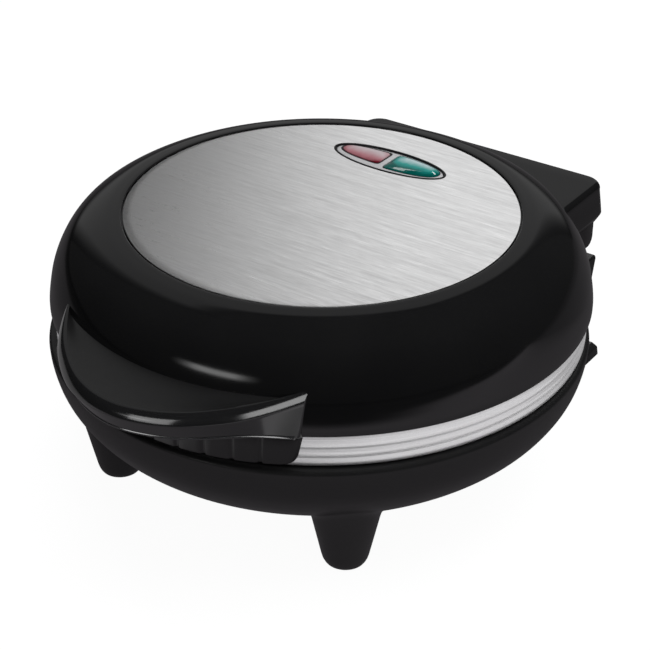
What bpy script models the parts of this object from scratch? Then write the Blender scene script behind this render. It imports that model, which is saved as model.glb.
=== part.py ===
"""Omelette maker with a hinged lid, built as separate pieces.

Metres, +Z up, +X to the right of someone who faces the handle from behind the
hinge, handle towards -Y, hinge towards +Y. The numbers below are millimetres,
measured from the vertical axis of the round body, and MM turns them into metres.
"""

import math

import bmesh
import bpy

MM = 0.001

# ---- driving dimensions (mm) ------------------------------------------------
AXIS_Y = 1.1  # the body's axis, ahead of which and behind which the whole object is equally long
SEGMENTS = 48  # around the body
GAP = 0.3  # between pieces that touch

PARTING_Z = 62.85  # where the two cooking plates meet
BASE_LIP_Z = 62.3
SHELL_BOTTOM_Z = 75.6
DECK_Z = 111.05  # seat of the steel disc
DISC_R, DISC_T = 79.3, 1.0

HINGE_Y, HINGE_Z = 117.0, 68.0
HINGE_PIN_R = 2.5
KNUCKLE_R = 8.2
EAR_R = 5.0
LID_OPEN_DEG = 90.0

# Where the feet stand, which is also where the base's screws go up into the lower plate.
FEET = {
    "front_left": (-56.3, -66.4),
    "rear_left": (-55.8, 65.0),
    "front_right": (55.4, -63.4),
    "rear_right": (55.8, 65.0),
}
FOOT_BOTTOM_Z = 0.8
BASE_SHIFT_Y = -1.5  # the bowl of the base reaches this much further forward
TOWER_HALF_WIDTH = 61.0
WALL_LEAN = 5.4 / 25.6  # of the tower's rear wall, below z = 40

PLATE_R = 104.3
PLATE_T = 3.4
POCKET_R = 91.0  # outer radius of the two half-moon pockets
POCKET_X = 6.0  # from the middle line to a pocket's straight side
POCKET_CORNER = 13.0
LOWER_DEPTH, UPPER_DEPTH = 16.0, 14.0
POCKET_WALL = 2.6

HEATER_R, HEATER_TUBE_R = 56.0, 3.2
LID_POST = 51.0  # the lid's four screw posts stand at (+-51, +-51)

BEZEL_X, BEZEL_Y = -1.0, 51.2
BEZEL_A, BEZEL_B = 27.6, 10.1  # half axes of its flange
BEZEL_HOLE = (25.8, 8.7)  # half axes of the hole that it sits in

HANDLE_X = 56.9  # half the handle's width, where it runs out on the shell
HANDLE_TOP_Z = 91.0
GRIP_DEG = 31.0

# Outer profiles, radius and height, from the top down.
LID_PROFILE = (
    (80.5, 112.6), (81.6, 113.0), (86.6, 112.0), (92.8, 109.2), (98.6, 105.5),
    (102.8, 101.0), (106.3, 94.9), (108.5, 89.0), (109.7, 83.2), (110.3, 79.0),
    (110.3, 77.0), (109.8, 75.6),
)
BASE_PROFILE = (
    (105.4, 62.3), (109.6, 62.3), (110.85, 60.4), (110.6, 57.0), (109.8, 52.6),
    (108.6, 48.4), (106.7, 44.2), (102.8, 38.4), (97.4, 33.0), (91.2, 28.7),
    (82.6, 25.2), (71.0, 23.3),
)


# ---- helpers ----------------------------------------------------------------
def clear_scene():
    for obj in list(bpy.data.objects):
        bpy.data.objects.remove(obj, do_unlink=True)


def material(name, colour, roughness, metallic=0.0, alpha=1.0):
    mat = bpy.data.materials.new(name)
    mat.use_nodes = True
    shader = mat.node_tree.nodes["Principled BSDF"]
    shader.inputs["Base Color"].default_value = (*colour, 1.0)
    shader.inputs["Roughness"].default_value = roughness
    shader.inputs["Metallic"].default_value = metallic
    if alpha < 1.0:
        shader.inputs["Transmission Weight"].default_value = 1.0 - alpha
    mat.diffuse_color = (*colour, 1.0)
    return mat


def empty(name, at=(0.0, 0.0, 0.0), parent=None):
    obj = bpy.data.objects.new(name, None)
    bpy.context.scene.collection.objects.link(obj)
    obj.location = [v * MM for v in at]
    obj.parent = parent
    return obj


def place(obj, frame):
    """Puts an object, modelled in the body's own millimetres, under one of the two frames."""
    bpy.context.scene.collection.objects.link(obj)
    obj.parent = frame["empty"]
    obj.location = [-v * MM for v in frame["at"]]


def solid(name, build, frame, mat=None, tool=False, smooth=True):
    """An object from a function that adds closed shapes to a bmesh."""
    bm = bmesh.new()
    build(bm)
    bmesh.ops.recalc_face_normals(bm, faces=bm.faces)
    bmesh.ops.scale(bm, vec=(MM, MM, MM), verts=bm.verts)
    mesh = bpy.data.meshes.new(name)
    bm.to_mesh(mesh)
    bm.free()
    if smooth and not tool:
        mesh.shade_smooth()
        mesh.set_sharp_from_angle(angle=math.radians(32))
    obj = bpy.data.objects.new(name, mesh)
    place(obj, frame)
    if mat:
        mesh.materials.append(mat)
    if tool:
        obj.hide_render = True
        obj.display_type = "WIRE"
    return obj


def combine(obj, operation, other):
    mod = obj.modifiers.new(operation.lower() + "_" + other.name, "BOOLEAN")
    mod.operation = operation
    mod.object = other
    mod.solver = "EXACT"
    return mod


def cut(obj, name, build, frame):
    combine(obj, "DIFFERENCE", solid(name, build, frame, tool=True))


def join(obj, name, build, frame):
    combine(obj, "UNION", solid(name, build, frame, tool=True))


def rings(bm, sections, cap=True, around=True):
    """Skins a row of point loops. A loop of one point closes to a tip."""
    loops = [[bm.verts.new(p) for p in section] for section in sections]
    for a, b in zip(loops, loops[1:]):
        n = max(len(a), len(b))
        for i in range(n if around else n - 1):
            j = (i + 1) % n
            if len(a) == 1:
                bm.faces.new((a[0], b[i], b[j]))
            elif len(b) == 1:
                bm.faces.new((a[i], a[j], b[0]))
            else:
                bm.faces.new((a[i], a[j], b[j], b[i]))
    if cap:
        for loop in (loops[0], loops[-1]):
            if len(loop) > 2:
                bm.faces.new(loop)
    return loops


def circle(radius, z, count, centre=(0.0, 0.0), phase=0.0):
    if radius < 1e-6:
        return [(centre[0], centre[1], z)]
    return [
        (
            centre[0] + radius * math.cos(phase + 2 * math.pi * i / count),
            centre[1] + radius * math.sin(phase + 2 * math.pi * i / count),
            z,
        )
        for i in range(count)
    ]


def turn(bm, profile, count=SEGMENTS, centre=(0.0, 0.0), closed=False):
    """A turned solid. A closed profile makes a ring, an open one is capped or meets the axis."""
    sections = [circle(r, z, count, centre) for r, z in profile]
    if not closed:
        rings(bm, sections)
        return
    loops = rings(bm, sections, cap=False)
    first, last = loops[0], loops[-1]
    for i in range(count):
        j = (i + 1) % count
        bm.faces.new((last[i], last[j], first[j], first[i]))


def bar(bm, start, end, radius, count=12):
    """A round bar along X or Y, with a vertex straight up."""
    sections = []
    for p in (start, end):
        loop = []
        for i in range(count):
            a = 2 * math.pi * i / count
            c, s = radius * math.cos(a), radius * math.sin(a)
            along_x = abs(end[0] - start[0]) > abs(end[1] - start[1])
            loop.append(
                (p[0], p[1] + s, p[2] + c) if along_x else (p[0] + s, p[1], p[2] + c)
            )
        sections.append(loop)
    rings(bm, sections)


def block(bm, low, high):
    rings(
        bm,
        [
            [(low[0], low[1], z), (high[0], low[1], z), (high[0], high[1], z), (low[0], high[1], z)]
            for z in (low[2], high[2])
        ],
    )


def side_prism(bm, outline, x0, x1):
    """Extrudes an outline of (y, z) points from x0 to x1."""
    rings(bm, [[(x, y, z) for y, z in outline] for x in (x0, x1)])


def inner_profile(profile, wall):
    """The same turned profile, moved inwards by the wall's thickness."""
    out = []
    for i, (r, z) in enumerate(profile):
        r0, z0 = profile[max(i - 1, 0)]
        r1, z1 = profile[min(i + 1, len(profile) - 1)]
        dr, dz = r1 - r0, z1 - z0
        length = math.hypot(dr, dz)
        out.append((r + wall * dz / length, z - wall * dr / length))
    return out


def half_moon(inset, z, side):
    """A half-moon outline: an arc and a straight side, with round corners."""
    radius, chord = POCKET_R - inset, POCKET_X + inset
    corner = max(POCKET_CORNER - inset, 2.0)
    cx = chord + corner
    cy = math.sqrt((radius - corner) ** 2 - cx**2)
    turn_at = math.atan2(cy, cx)
    points = []
    for i in range(6):
        a = math.pi + (turn_at - math.pi) * i / 5
        points.append((cx + corner * math.cos(a), cy + corner * math.sin(a)))
    for i in range(1, 14):
        a = turn_at - 2 * turn_at * i / 14
        points.append((radius * math.cos(a), radius * math.sin(a)))
    for i in range(6):
        a = -turn_at + (turn_at - math.pi) * i / 5
        points.append((cx + corner * math.cos(a), -cy + corner * math.sin(a)))
    return [(side * x, y, z) for x, y in points]


def ellipse(a, b, z, count=36, centre=(BEZEL_X, BEZEL_Y)):
    return [
        (
            centre[0] + a * math.cos(2 * math.pi * i / count),
            centre[1] + b * math.sin(2 * math.pi * i / count),
            z,
        )
        for i in range(count)
    ]


def tube(name, route, radius, frame, mat, sides=2):
    """A bent rod or wire along a smooth curve through the route's points."""
    points = []
    for i in range(len(route) - 1):
        p0 = route[max(i - 1, 0)]
        p1, p2 = route[i], route[i + 1]
        p3 = route[min(i + 2, len(route) - 1)]
        steps = 3
        for k in range(steps):
            t = k / steps
            points.append(
                tuple(
                    0.5 * (2 * b + (c - a) * t + (2 * a - 5 * b + 4 * c - d) * t * t + (3 * b - a - 3 * c + d) * t**3)
                    for a, b, c, d in zip(p0, p1, p2, p3)
                )
            )
    points.append(route[-1])
    curve = bpy.data.curves.new(name, "CURVE")
    curve.dimensions = "3D"
    curve.bevel_depth = radius * MM
    curve.bevel_resolution = sides
    curve.use_fill_caps = True
    spline = curve.splines.new("POLY")
    spline.points.add(len(points) - 1)
    for point, p in zip(spline.points, points):
        point.co = (p[0] * MM, p[1] * MM, p[2] * MM, 1.0)
    curve.materials.append(mat)
    obj = bpy.data.objects.new(name, curve)
    place(obj, frame)
    return obj


def corners(x, y):
    return [(sx * x, sy * y) for sx in (-1, 1) for sy in (-1, 1)]


# ---- scene, frames and materials ---------------------------------------------
clear_scene()
world = empty("body_axis", (0.0, AXIS_Y, 0.0))
BASE = {"empty": world, "at": (0.0, 0.0, 0.0)}
LID = {
    "empty": empty("lid_hinge_axis", (0.0, HINGE_Y, HINGE_Z), world),
    "at": (0.0, HINGE_Y, HINGE_Z),
}

gloss_black = material("gloss_black_plastic", (0.012, 0.012, 0.013), 0.12)
satin_black = material("satin_black_plastic", (0.02, 0.02, 0.021), 0.42)
steel = material("brushed_steel", (0.62, 0.62, 0.62), 0.32, 1.0)
bright_steel = material("zinc_plated_steel", (0.55, 0.55, 0.54), 0.35, 1.0)
cast = material("coated_cast_aluminium", (0.03, 0.03, 0.032), 0.45, 0.3)
sheet = material("aluminised_sheet", (0.55, 0.56, 0.57), 0.4, 1.0)
rubber = material("black_rubber", (0.02, 0.02, 0.02), 0.8)
red = material("red_lens", (0.6, 0.02, 0.03), 0.1, alpha=0.4)
green = material("green_lens", (0.0, 0.35, 0.25), 0.1, alpha=0.4)
lamp_glass = material("lamp_glass", (0.9, 0.6, 0.4), 0.1, alpha=0.3)
ceramic = material("ceramic", (0.75, 0.72, 0.66), 0.6)
silver = material("silver_plastic", (0.5, 0.5, 0.51), 0.3, 0.8)
wire = material("silicone_wire", (0.7, 0.7, 0.68), 0.6)

# ---- base shell ---------------------------------------------------------------
# The side view of the hinge tower: its ledge stops the open lid's rear wall.
TOWER = (
    (68.0, 29.6), (100.0, 14.4), (122.4, 14.4), (127.8, 40.0), (130.2, 50.2),
    (129.7, 51.7), (120.8, 51.7), (118.6, 57.8), (68.0, 57.8),
)
TOWER_HOLLOW = (
    (80.0, 33.5), (93.0, 26.0), (103.5, 17.8), (120.0, 17.2), (125.0, 40.0), (127.0, 48.9),
    (118.6, 48.9), (116.2, 55.2), (80.0, 55.2),
)


def base_outer(bm):
    turn(bm, ((0.0, 62.3),) + BASE_PROFILE[1:] + ((0.0, 23.0),), centre=(0.0, BASE_SHIFT_Y))


def base_tower(bm):
    side_prism(bm, TOWER, -TOWER_HALF_WIDTH, TOWER_HALF_WIDTH)


def base_feet(bm):
    for x, y in FEET.values():
        turn(
            bm,
            ((0.0, 27.5), (15.6, 27.5), (13.8, 24.0), (12.8, 20.0), (9.7, 6.0), (8.9, 2.8), (7.2, 0.8), (0.0, 0.8)),
            16,
            (x, y),
        )


def cord_hooks(bm):
    """Two ears at the tower's foot, behind which the cord is wound."""
    for s in (-1, 1):
        outline = [
            (s * 55.0, 14.4), (s * 68.4, 14.4), (s * 70.6, 13.6), (s * 71.3, 12.0), (s * 71.3, 9.6), (s * 68.6, 6.6),
            (s * 55.0, 6.6),
        ]
        rings(bm, [[(x, y, z) for x, z in outline] for y in (103.6, 117.2)])


def base_ears(bm):
    for s in (-1, 1):
        outline = [(111.0, 53.0), (118.2, 53.0)]
        for i in range(10):
            a = math.radians(-74 + 254 * i / 9)
            outline.append((HINGE_Y + EAR_R * math.cos(a), HINGE_Z + EAR_R * math.sin(a)))
        side_prism(bm, outline, s * 39.0, s * 49.6)


def base_hollow(bm):
    inner = [p for p in inner_profile(BASE_PROFILE, 2.6) if p[1] < 56.0]
    turn(bm, [(0.0, 58.0), (105.0, 58.0)] + inner + [(0.0, 25.6)], centre=(0.0, BASE_SHIFT_Y))


def base_mouth(bm):
    turn(bm, ((0.0, 66.0), (105.3, 66.0), (105.3, 56.0), (0.0, 56.0)))


def tower_hollow(bm):
    side_prism(bm, TOWER_HOLLOW, -58.4, 58.4)


def base_posts(bm):
    for x, y in FEET.values():
        turn(bm, ((0.0, 33.7), (5.4, 33.7), (5.9, 24.4), (0.0, 24.4)), 12, (x, y))


def base_holes(bm):
    for x, y in FEET.values():
        turn(
            bm,
            ((0.0, 40.0), (2.1, 40.0), (2.1, 14.0), (4.2, 14.0), (4.2, 7.3), (5.8, 7.3), (5.8, -2.0), (0.0, -2.0)),
            12,
            (x, y),
        )
    for s in (-1, 1):
        bar(bm, (s * 36.0, HINGE_Y, HINGE_Z), (s * 49.8, HINGE_Y, HINGE_Z), HINGE_PIN_R + GAP, 16)
    bar(bm, (0.0, 120.0, 30.0), (0.0, 134.0, 30.0), 6.8, 20)  # cord inlet
    block(bm, (-5.0, 109.5, 50.0), (5.0, 116.6, 64.0))  # wires up into the lid


base_shell = solid("base_shell", base_outer, BASE, satin_black)
join(base_shell, "tool_tower", base_tower, BASE)
join(base_shell, "tool_feet", base_feet, BASE)
join(base_shell, "tool_cord_hooks", cord_hooks, BASE)
join(base_shell, "tool_ears", base_ears, BASE)
cut(base_shell, "tool_base_hollow", base_hollow, BASE)
cut(base_shell, "tool_base_mouth", base_mouth, BASE)
cut(base_shell, "tool_tower_hollow", tower_hollow, BASE)
join(base_shell, "tool_posts", base_posts, BASE)
cut(base_shell, "tool_base_holes", base_holes, BASE)

# ---- what stands in and under the base -----------------------------------------
for where, (x, y) in FEET.items():
    solid(
        "foot_pad_" + where,
        lambda bm, c=(x, y): turn(
            bm, ((0.0, 7.0), (5.4, 7.0), (5.5, 1.0), (4.7, 0.0), (0.0, 0.0)), 16, c
        ),
        BASE,
        rubber,
    )
    solid(
        "base_screw_" + where,
        lambda bm, c=(x, y): turn(
            bm,
            ((0.0, 41.4), (1.6, 41.4), (1.6, 13.7), (3.6, 13.7), (3.2, 11.6), (0.0, 11.4)),
            10,
            c,
        ),
        BASE,
        bright_steel,
    )


def plate(name, bosses, boss_end, face, depth, up, frame):
    """A cooking plate: a disc with two half-moon pockets, cast with four screw bosses on its back."""
    s = 1 if up else -1
    back = face + s * PLATE_T
    floor = face + s * depth
    far = floor + s * POCKET_WALL

    def disc(bm):
        turn(bm, ((0.0, face), (PLATE_R - 0.8, face), (PLATE_R, face + s * 0.8), (PLATE_R, back), (0.0, back)))

    def backs(bm):
        for side in (-1, 1):
            levels = ((-2.6, face + s * 1.0), (-1.2, floor - s * 5.0), (1.6, floor + s * 0.4), (5.2, far))
            rings(bm, [half_moon(inset, z, side) for inset, z in levels])

    def stubs(bm):
        for x, y in bosses:
            turn(bm, ((0.0, far - s * 1.5), (5.6, far - s * 1.5), (5.0, boss_end), (0.0, boss_end)), 12, (x, y))

    def pockets(bm):
        for side in (-1, 1):
            levels = ((-0.6, face - s * 2.0), (0.0, face), (1.6, floor - s * 5.0), (3.6, floor - s * 1.3), (7.2, floor))
            rings(bm, [half_moon(inset, z, side) for inset, z in levels])

    def screw_holes(bm):
        for x, y in bosses:
            turn(
                bm,
                ((0.0, floor + s * 1.4), (1.95, floor + s * 1.4), (1.95, boss_end + s * 3.0), (0.0, boss_end + s * 3.0)),
                10,
                (x, y),
            )

    obj = solid(name, disc, frame, cast)
    join(obj, "tool_backs_" + name, backs, frame)
    join(obj, "tool_stubs_" + name, stubs, frame)
    cut(obj, "tool_pockets_" + name, pockets, frame)
    cut(obj, "tool_screw_holes_" + name, screw_holes, frame)
    return obj


LOWER_FACE = PARTING_Z - GAP / 2
UPPER_FACE = PARTING_Z + GAP / 2
LOWER_BACK = LOWER_FACE - LOWER_DEPTH - POCKET_WALL
UPPER_BACK = UPPER_FACE + UPPER_DEPTH + POCKET_WALL
plate("lower_plate", FEET.values(), 34.0, LOWER_FACE, LOWER_DEPTH, False, BASE)


def heater_route(z, lead_z):
    """Most of a ring, with both ends turned towards the hinge and then away from the plate."""
    route = [(-10.0, 84.0, lead_z), (-10.0, 72.0, z), (-13.0, 61.0, z)]
    for i in range(23):
        a = math.radians(112.0 + 316.0 * i / 22)
        route.append((HEATER_R * math.cos(a), HEATER_R * math.sin(a), z))
    route += [(13.0, 61.0, z), (10.0, 72.0, z), (10.0, 84.0, lead_z)]
    return route


def thin_route(route):
    return route[:3] + route[4:-4:2] + route[-3:]


low_z = LOWER_BACK - GAP - HEATER_TUBE_R
tube("lower_heater", thin_route(heater_route(low_z, low_z)), HEATER_TUBE_R, BASE, bright_steel, 1)
solid(
    "lower_reflector",
    lambda bm: turn(
        bm,
        ((0.0, 33.8), (73.0, 33.8), (75.8, 36.4), (76.6, 36.0), (73.6, 33.0), (0.0, 33.0)),
        36,
    ),
    BASE,
    sheet,
)
solid(
    "thermal_fuse",
    lambda bm: bar(bm, (0.0, -9.0, 56.2), (0.0, 9.0, 56.2), 2.0, 12),
    BASE,
    bright_steel,
)


def terminals(bm):
    block(bm, (-17.0, 104.5, 28.6), (17.0, 115.5, 39.6))


terminal_block = solid("terminal_block", terminals, BASE, ceramic, smooth=False)
edge = terminal_block.modifiers.new("edges", "BEVEL")
edge.width, edge.segments = 0.8 * MM, 1
tube(
    "live_lead", [(-10.0, 84.4, low_z), (-10.2, 91.0, low_z - 1.0), (-9.0, 97.5, 36.2), (-8.0, 104.2, 34.4)], 1.3, BASE, wire, 1
)
tube(
    "neutral_lead", [(10.0, 84.4, low_z), (10.2, 91.0, low_z - 1.0), (9.0, 97.5, 36.2), (8.0, 104.2, 34.4)], 1.3, BASE, wire, 1
)


def gland(bm):
    """A flanged bush in the tower's rear wall, where the cord goes in. It leans with the wall."""
    rows = ((3.6, 120.6), (6.4, 120.6), (6.4, 126.1), (8.8, 126.1), (8.4, 128.7), (3.6, 128.7))
    sections = []
    for r, y in rows:
        angles = [2 * math.pi * i / 20 for i in range(20)]
        sections.append([(r * math.sin(a), y + WALL_LEAN * r * math.cos(a), 30.0 + r * math.cos(a)) for a in angles])
    loops = rings(bm, sections, cap=False)
    for i in range(20):
        j = (i + 1) % 20
        bm.faces.new((loops[-1][i], loops[-1][j], loops[0][j], loops[0][i]))


solid("cord_gland", gland, BASE, rubber)

for side, s in (("left", -1), ("right", 1)):
    solid(
        "hinge_pin_" + side,
        lambda bm, s=s: bar(bm, (s * 38.4, HINGE_Y, HINGE_Z), (s * 57.4, HINGE_Y, HINGE_Z), HINGE_PIN_R, 16),
        BASE,
        bright_steel,
    )
tube(
    "hinge_sleeve_base",
    [(0.0, 106.0, 43.0), (0.0, 111.6, 48.0), (0.0, 113.0, 56.0), (0.6, 114.6, 63.0), (4.0, 117.0, 68.0), (11.0, 117.0, 68.0)],
    2.0,
    BASE,
    wire,
    1,
)

# ---- lid shell ------------------------------------------------------------------
REAR_BOX = (  # height, half width, rear, corner radius
    (70.0, 60.4, 126.6, 4.0),
    (72.6, 62.0, 133.0, 7.5),
    (85.6, 61.5, 132.7, 8.0),
    (88.0, 60.7, 131.8, 7.5),
    (88.9, 59.2, 130.0, 6.5),
)


def box_outline(z, half, rear, corner, front):
    points = [(half, front, z)]
    for i in range(5):
        a = math.pi / 2 * i / 4
        points.append((half - corner + corner * math.cos(a), rear - corner + corner * math.sin(a), z))
    for i in range(5):
        a = math.pi / 2 + math.pi / 2 * i / 4
        points.append((-half + corner + corner * math.cos(a), rear - corner + corner * math.sin(a), z))
    points.append((-half, front, z))
    return points


def lid_outer(bm):
    turn(bm, ((0.0, DECK_Z), (80.2, DECK_Z)) + LID_PROFILE + ((0.0, SHELL_BOTTOM_Z),))


def lid_box(bm):
    """The flat-topped hinge box. In front it stays inside the shell's own outline."""
    rings(bm, [box_outline(z, half, rear, corner, 80.0) for z, half, rear, corner in REAR_BOX])


def lid_hollow(bm):
    inner = [p for p in inner_profile(LID_PROFILE, 2.5) if 82.0 < p[1] < 108.4]
    turn(
        bm,
        [(0.0, 108.7)] + [(84.0, 108.7)] + inner[1:] + [(107.2, 80.4), (108.5, 79.4), (108.5, 66.0), (0.0, 66.0)],
    )


def box_hollow(bm):
    rings(
        bm,
        [
            box_outline(66.0, 58.6, 122.6, 4.0, 103.5),
            box_outline(70.6, 58.6, 122.6, 4.0, 103.5),
            box_outline(73.6, 59.2, 130.2, 5.5, 103.5),
            box_outline(86.2, 58.8, 129.8, 5.5, 103.5),
        ],
    )


def lid_knuckles(bm):
    """Each knuckle hangs from the box on a web, beside one of the base's ears."""
    for s in (-1, 1):
        outline = [(HINGE_Y - KNUCKLE_R, 87.6)]
        for i in range(9):
            a = math.radians(180 + 180 * i / 8)
            outline.append((HINGE_Y + KNUCKLE_R * math.cos(a), HINGE_Z + KNUCKLE_R * math.sin(a)))
        outline.append((HINGE_Y + KNUCKLE_R, 87.6))
        side_prism(bm, outline, s * 50.0, s * 61.6)


def lid_posts(bm):
    for x, y in corners(LID_POST, LID_POST):
        turn(bm, ((0.0, 109.6), (6.0, 109.6), (5.4, 88.3), (0.0, 88.3)), 12, (x, y))


def lid_holes(bm):
    for x, y in corners(LID_POST, LID_POST):
        turn(bm, ((0.0, 114.0), (4.2, 114.0), (4.2, 108.6), (2.1, 108.6), (2.1, 85.0), (0.0, 85.0)), 12, (x, y))
    rings(bm, [ellipse(*BEZEL_HOLE, z) for z in (106.0, 114.0)])
    for s in (-1, 1):
        bar(bm, (s * 49.8, HINGE_Y, HINGE_Z), (s * 57.8, HINGE_Y, HINGE_Z), HINGE_PIN_R + GAP, 16)
        bar(bm, (s * 25.0, -98.0, 84.0), (s * 25.0, -114.0, 84.0), 2.3, 10)


lid_shell = solid("lid_shell", lid_outer, LID, gloss_black)
join(lid_shell, "tool_box", lid_box, LID)
cut(lid_shell, "tool_lid_hollow", lid_hollow, LID)
cut(lid_shell, "tool_box_hollow", box_hollow, LID)
join(lid_shell, "tool_knuckles", lid_knuckles, LID)
join(lid_shell, "tool_lid_posts", lid_posts, LID)
cut(lid_shell, "tool_lid_holes", lid_holes, LID)

# ---- top of the lid ---------------------------------------------------------------
DISC_Z = DECK_Z + GAP
lid_disc = solid(
    "lid_disc",
    lambda bm: turn(bm, ((0.0, DISC_Z), (DISC_R, DISC_Z), (DISC_R, DISC_Z + DISC_T), (0.0, DISC_Z + DISC_T))),
    LID,
    steel,
)
cut(lid_disc, "tool_disc_window", lambda bm: rings(bm, [ellipse(*BEZEL_HOLE, z) for z in (108.0, 116.0)]), LID)

FLANGE_Z = DISC_Z + DISC_T + GAP


def window(inset, z, side):
    """One lens window: half of an ellipse, its straight side by the middle bar, round at the corners."""
    a, b, bar_half, corner = 24.5 - inset, 7.4 - inset, 1.2 + inset, 1.6
    reach = math.acos((bar_half + corner) / a)
    points = [(bar_half, b * math.sin(reach) - corner), (bar_half + 0.5, b * math.sin(reach) - 0.5)]
    for i in range(11):
        t = reach - 2 * reach * i / 10
        points.append((a * math.cos(t), b * math.sin(t)))
    points += [(bar_half + 0.5, -b * math.sin(reach) + 0.5), (bar_half, -b * math.sin(reach) + corner)]
    return [(BEZEL_X + side * x, BEZEL_Y + y, z) for x, y in points]


def bezel(bm):
    rings(
        bm,
        [
            ellipse(BEZEL_HOLE[0] - GAP, BEZEL_HOLE[1] - GAP, 108.4),
            ellipse(BEZEL_HOLE[0] - GAP, BEZEL_HOLE[1] - GAP, FLANGE_Z),
            ellipse(BEZEL_A, BEZEL_B, FLANGE_Z),
            ellipse(BEZEL_A - 0.1, BEZEL_B - 0.1, FLANGE_Z + 0.4),
            ellipse(BEZEL_A - 0.9, BEZEL_B - 0.9, FLANGE_Z + 0.8),
        ],
    )


indicator_bezel = solid("indicator_bezel", bezel, LID, silver)
cut(
    indicator_bezel,
    "tool_bezel_windows",
    lambda bm: [rings(bm, [window(0.0, z, side) for z in (106.0, 116.0)]) for side in (-1, 1)],
    LID,
)
for name, side, mat in (("power_lens", -1, red), ("ready_lens", 1, green)):
    solid(
        name,
        lambda bm, side=side: rings(
            bm, [window(GAP, 109.2, side), window(GAP, 112.9, side), window(0.9, 113.4, side), window(2.6, 113.7, side)]
        ),
        LID,
        mat,
    )
for name, x in (("power_lamp", BEZEL_X - 13.0), ("ready_lamp", BEZEL_X + 13.0)):
    solid(
        name,
        lambda bm, x=x: bar(bm, (x - 8.0, BEZEL_Y, 104.6), (x + 8.0, BEZEL_Y, 104.6), 2.5, 12),
        LID,
        lamp_glass,
    )
lamp_holder = solid(
    "lamp_holder",
    lambda bm: block(bm, (BEZEL_X - 28.6, BEZEL_Y - 11.2, 99.0), (BEZEL_X + 28.6, BEZEL_Y + 11.2, 108.3)),
    LID,
    satin_black,
    smooth=False,
)
cut(
    lamp_holder,
    "tool_lamp_bays",
    lambda bm: [
        block(bm, (BEZEL_X + low, BEZEL_Y - 9.6, 100.8), (BEZEL_X + high, BEZEL_Y + 9.6, 112.0))
        for low, high in ((-26.8, -0.9), (0.9, 26.8))
    ],
    LID,
)
cut(
    lamp_holder,
    "tool_bezel_room",
    lambda bm: rings(bm, [ellipse(BEZEL_HOLE[0] + 0.2, BEZEL_HOLE[1] + 0.2, z) for z in (107.6, 112.0)]),
    LID,
)

# ---- silver ring with three ribs, under the shell ----------------------------------
RING = (
    (106.9, 63.3), (108.1, 63.3), (108.3, 63.8), (108.3, 67.1), (107.9, 67.4), (108.5, 68.0), (108.5, 69.2),
    (107.7, 70.0), (107.7, 70.9), (108.2, 71.4), (108.2, 78.9), (106.9, 78.9), (106.9, 68.3), (100.0, 68.3),
    (100.0, 67.3), (106.0, 67.3), (106.0, 63.3),
)
solid("lid_trim_ring", lambda bm: turn(bm, RING, closed=True), LID, steel)

# ---- handle and the ribbed grip under it ---------------------------------------------
def handle_rim(x):
    """The rim's inner edge, its outer edge and the lower edge of the outer wall, seen from above."""
    outer = -135.2 + 0.0135 * x * x - (abs(x) / HANDLE_X) ** 6
    return -131.35 + 0.0134 * x * x, outer, -131.7 + 0.947 * (math.sqrt(x * x + 900.0) - 30.0)


def handle_section(x):
    inner, outer, lower = handle_rim(x)
    u = abs(x) / HANDLE_X
    shell = -math.sqrt(108.2**2 - x * x)
    low_z = 80.0 - 3.2 * max(0.0, (u - 0.74) / 0.26) ** 2.5
    under = -math.sqrt(112.3**2 - x * x) - 0.2
    outer = min(outer, shell - 0.6)
    inner = min(inner, shell - 0.1)
    lower = min(lower, under - 0.6)
    dip = 0.6 * min(1.0, (shell - inner) / 12.0)
    top = HANDLE_TOP_Z + 2.7 * u**3
    deep = shell + 8.0
    return [
        (x, deep, 90.5),
        (x, shell + 1.0, 90.5),
        (x, shell + 0.30 * (inner - shell), 90.5 - dip * 0.8 + 0.3 * (top - HANDLE_TOP_Z)),
        (x, shell + 0.70 * (inner - shell), 90.5 - dip + 0.4 * (top - HANDLE_TOP_Z)),
        (x, inner, top - 0.6),
        (x, inner + 0.45 * (outer - inner), top),
        (x, outer + 0.5, top - 1.2),
        (x, outer, top - 3.4),
        (x, lower, low_z + 0.4),
        (x, lower + 1.2, low_z - 0.2),
        (x, under, 75.75),
        (x, deep, 75.75),
    ]


def handle_body(bm):
    rings(bm, [handle_section(HANDLE_X * math.sin(math.pi / 2 * i / 11)) for i in range(-11, 12)])


def handle_room(bm):
    """The shell's outer form and a little more, to seat the handle on."""
    profile = [(r + GAP * 1.3, z) for r, z in LID_PROFILE[2:-1]]
    turn(bm, [(0.0, 116.0), (70.0, 116.0)] + profile + [(110.7, 76.5), (110.7, 70.0), (0.0, 70.0)])


lid_handle = solid("lid_handle", handle_body, LID, satin_black)
cut(lid_handle, "tool_handle_room", handle_room, LID)
cut(
    lid_handle,
    "tool_handle_holes",
    lambda bm: [bar(bm, (s * 25.0, -100.0, 84.0), (s * 25.0, -118.0, 84.0), 1.95, 10) for s in (-1, 1)],
    LID,
)
for side, s in (("left", -1), ("right", 1)):

    def handle_screw(bm, s=s):
        rows = ((0.0, -98.3), (3.2, -98.5), (3.6, -100.6), (1.6, -100.6), (1.6, -117.0), (0.0, -117.0))
        sections = []
        for r, y in rows:
            if r < 1e-6:
                sections.append([(s * 25.0, y, 84.0)])
            else:
                sections.append(
                    [
                        (s * 25.0 + r * math.sin(2 * math.pi * i / 10), y, 84.0 + r * math.cos(2 * math.pi * i / 10))
                        for i in range(10)
                    ]
                )
        rings(bm, sections, cap=False)

    solid("handle_screw_" + side, handle_screw, LID, bright_steel)


def grip_radius(deg):
    return 110.2 + 1.7 * math.cos(math.radians(min(90.0, abs(deg) * 3.0)))


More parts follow.
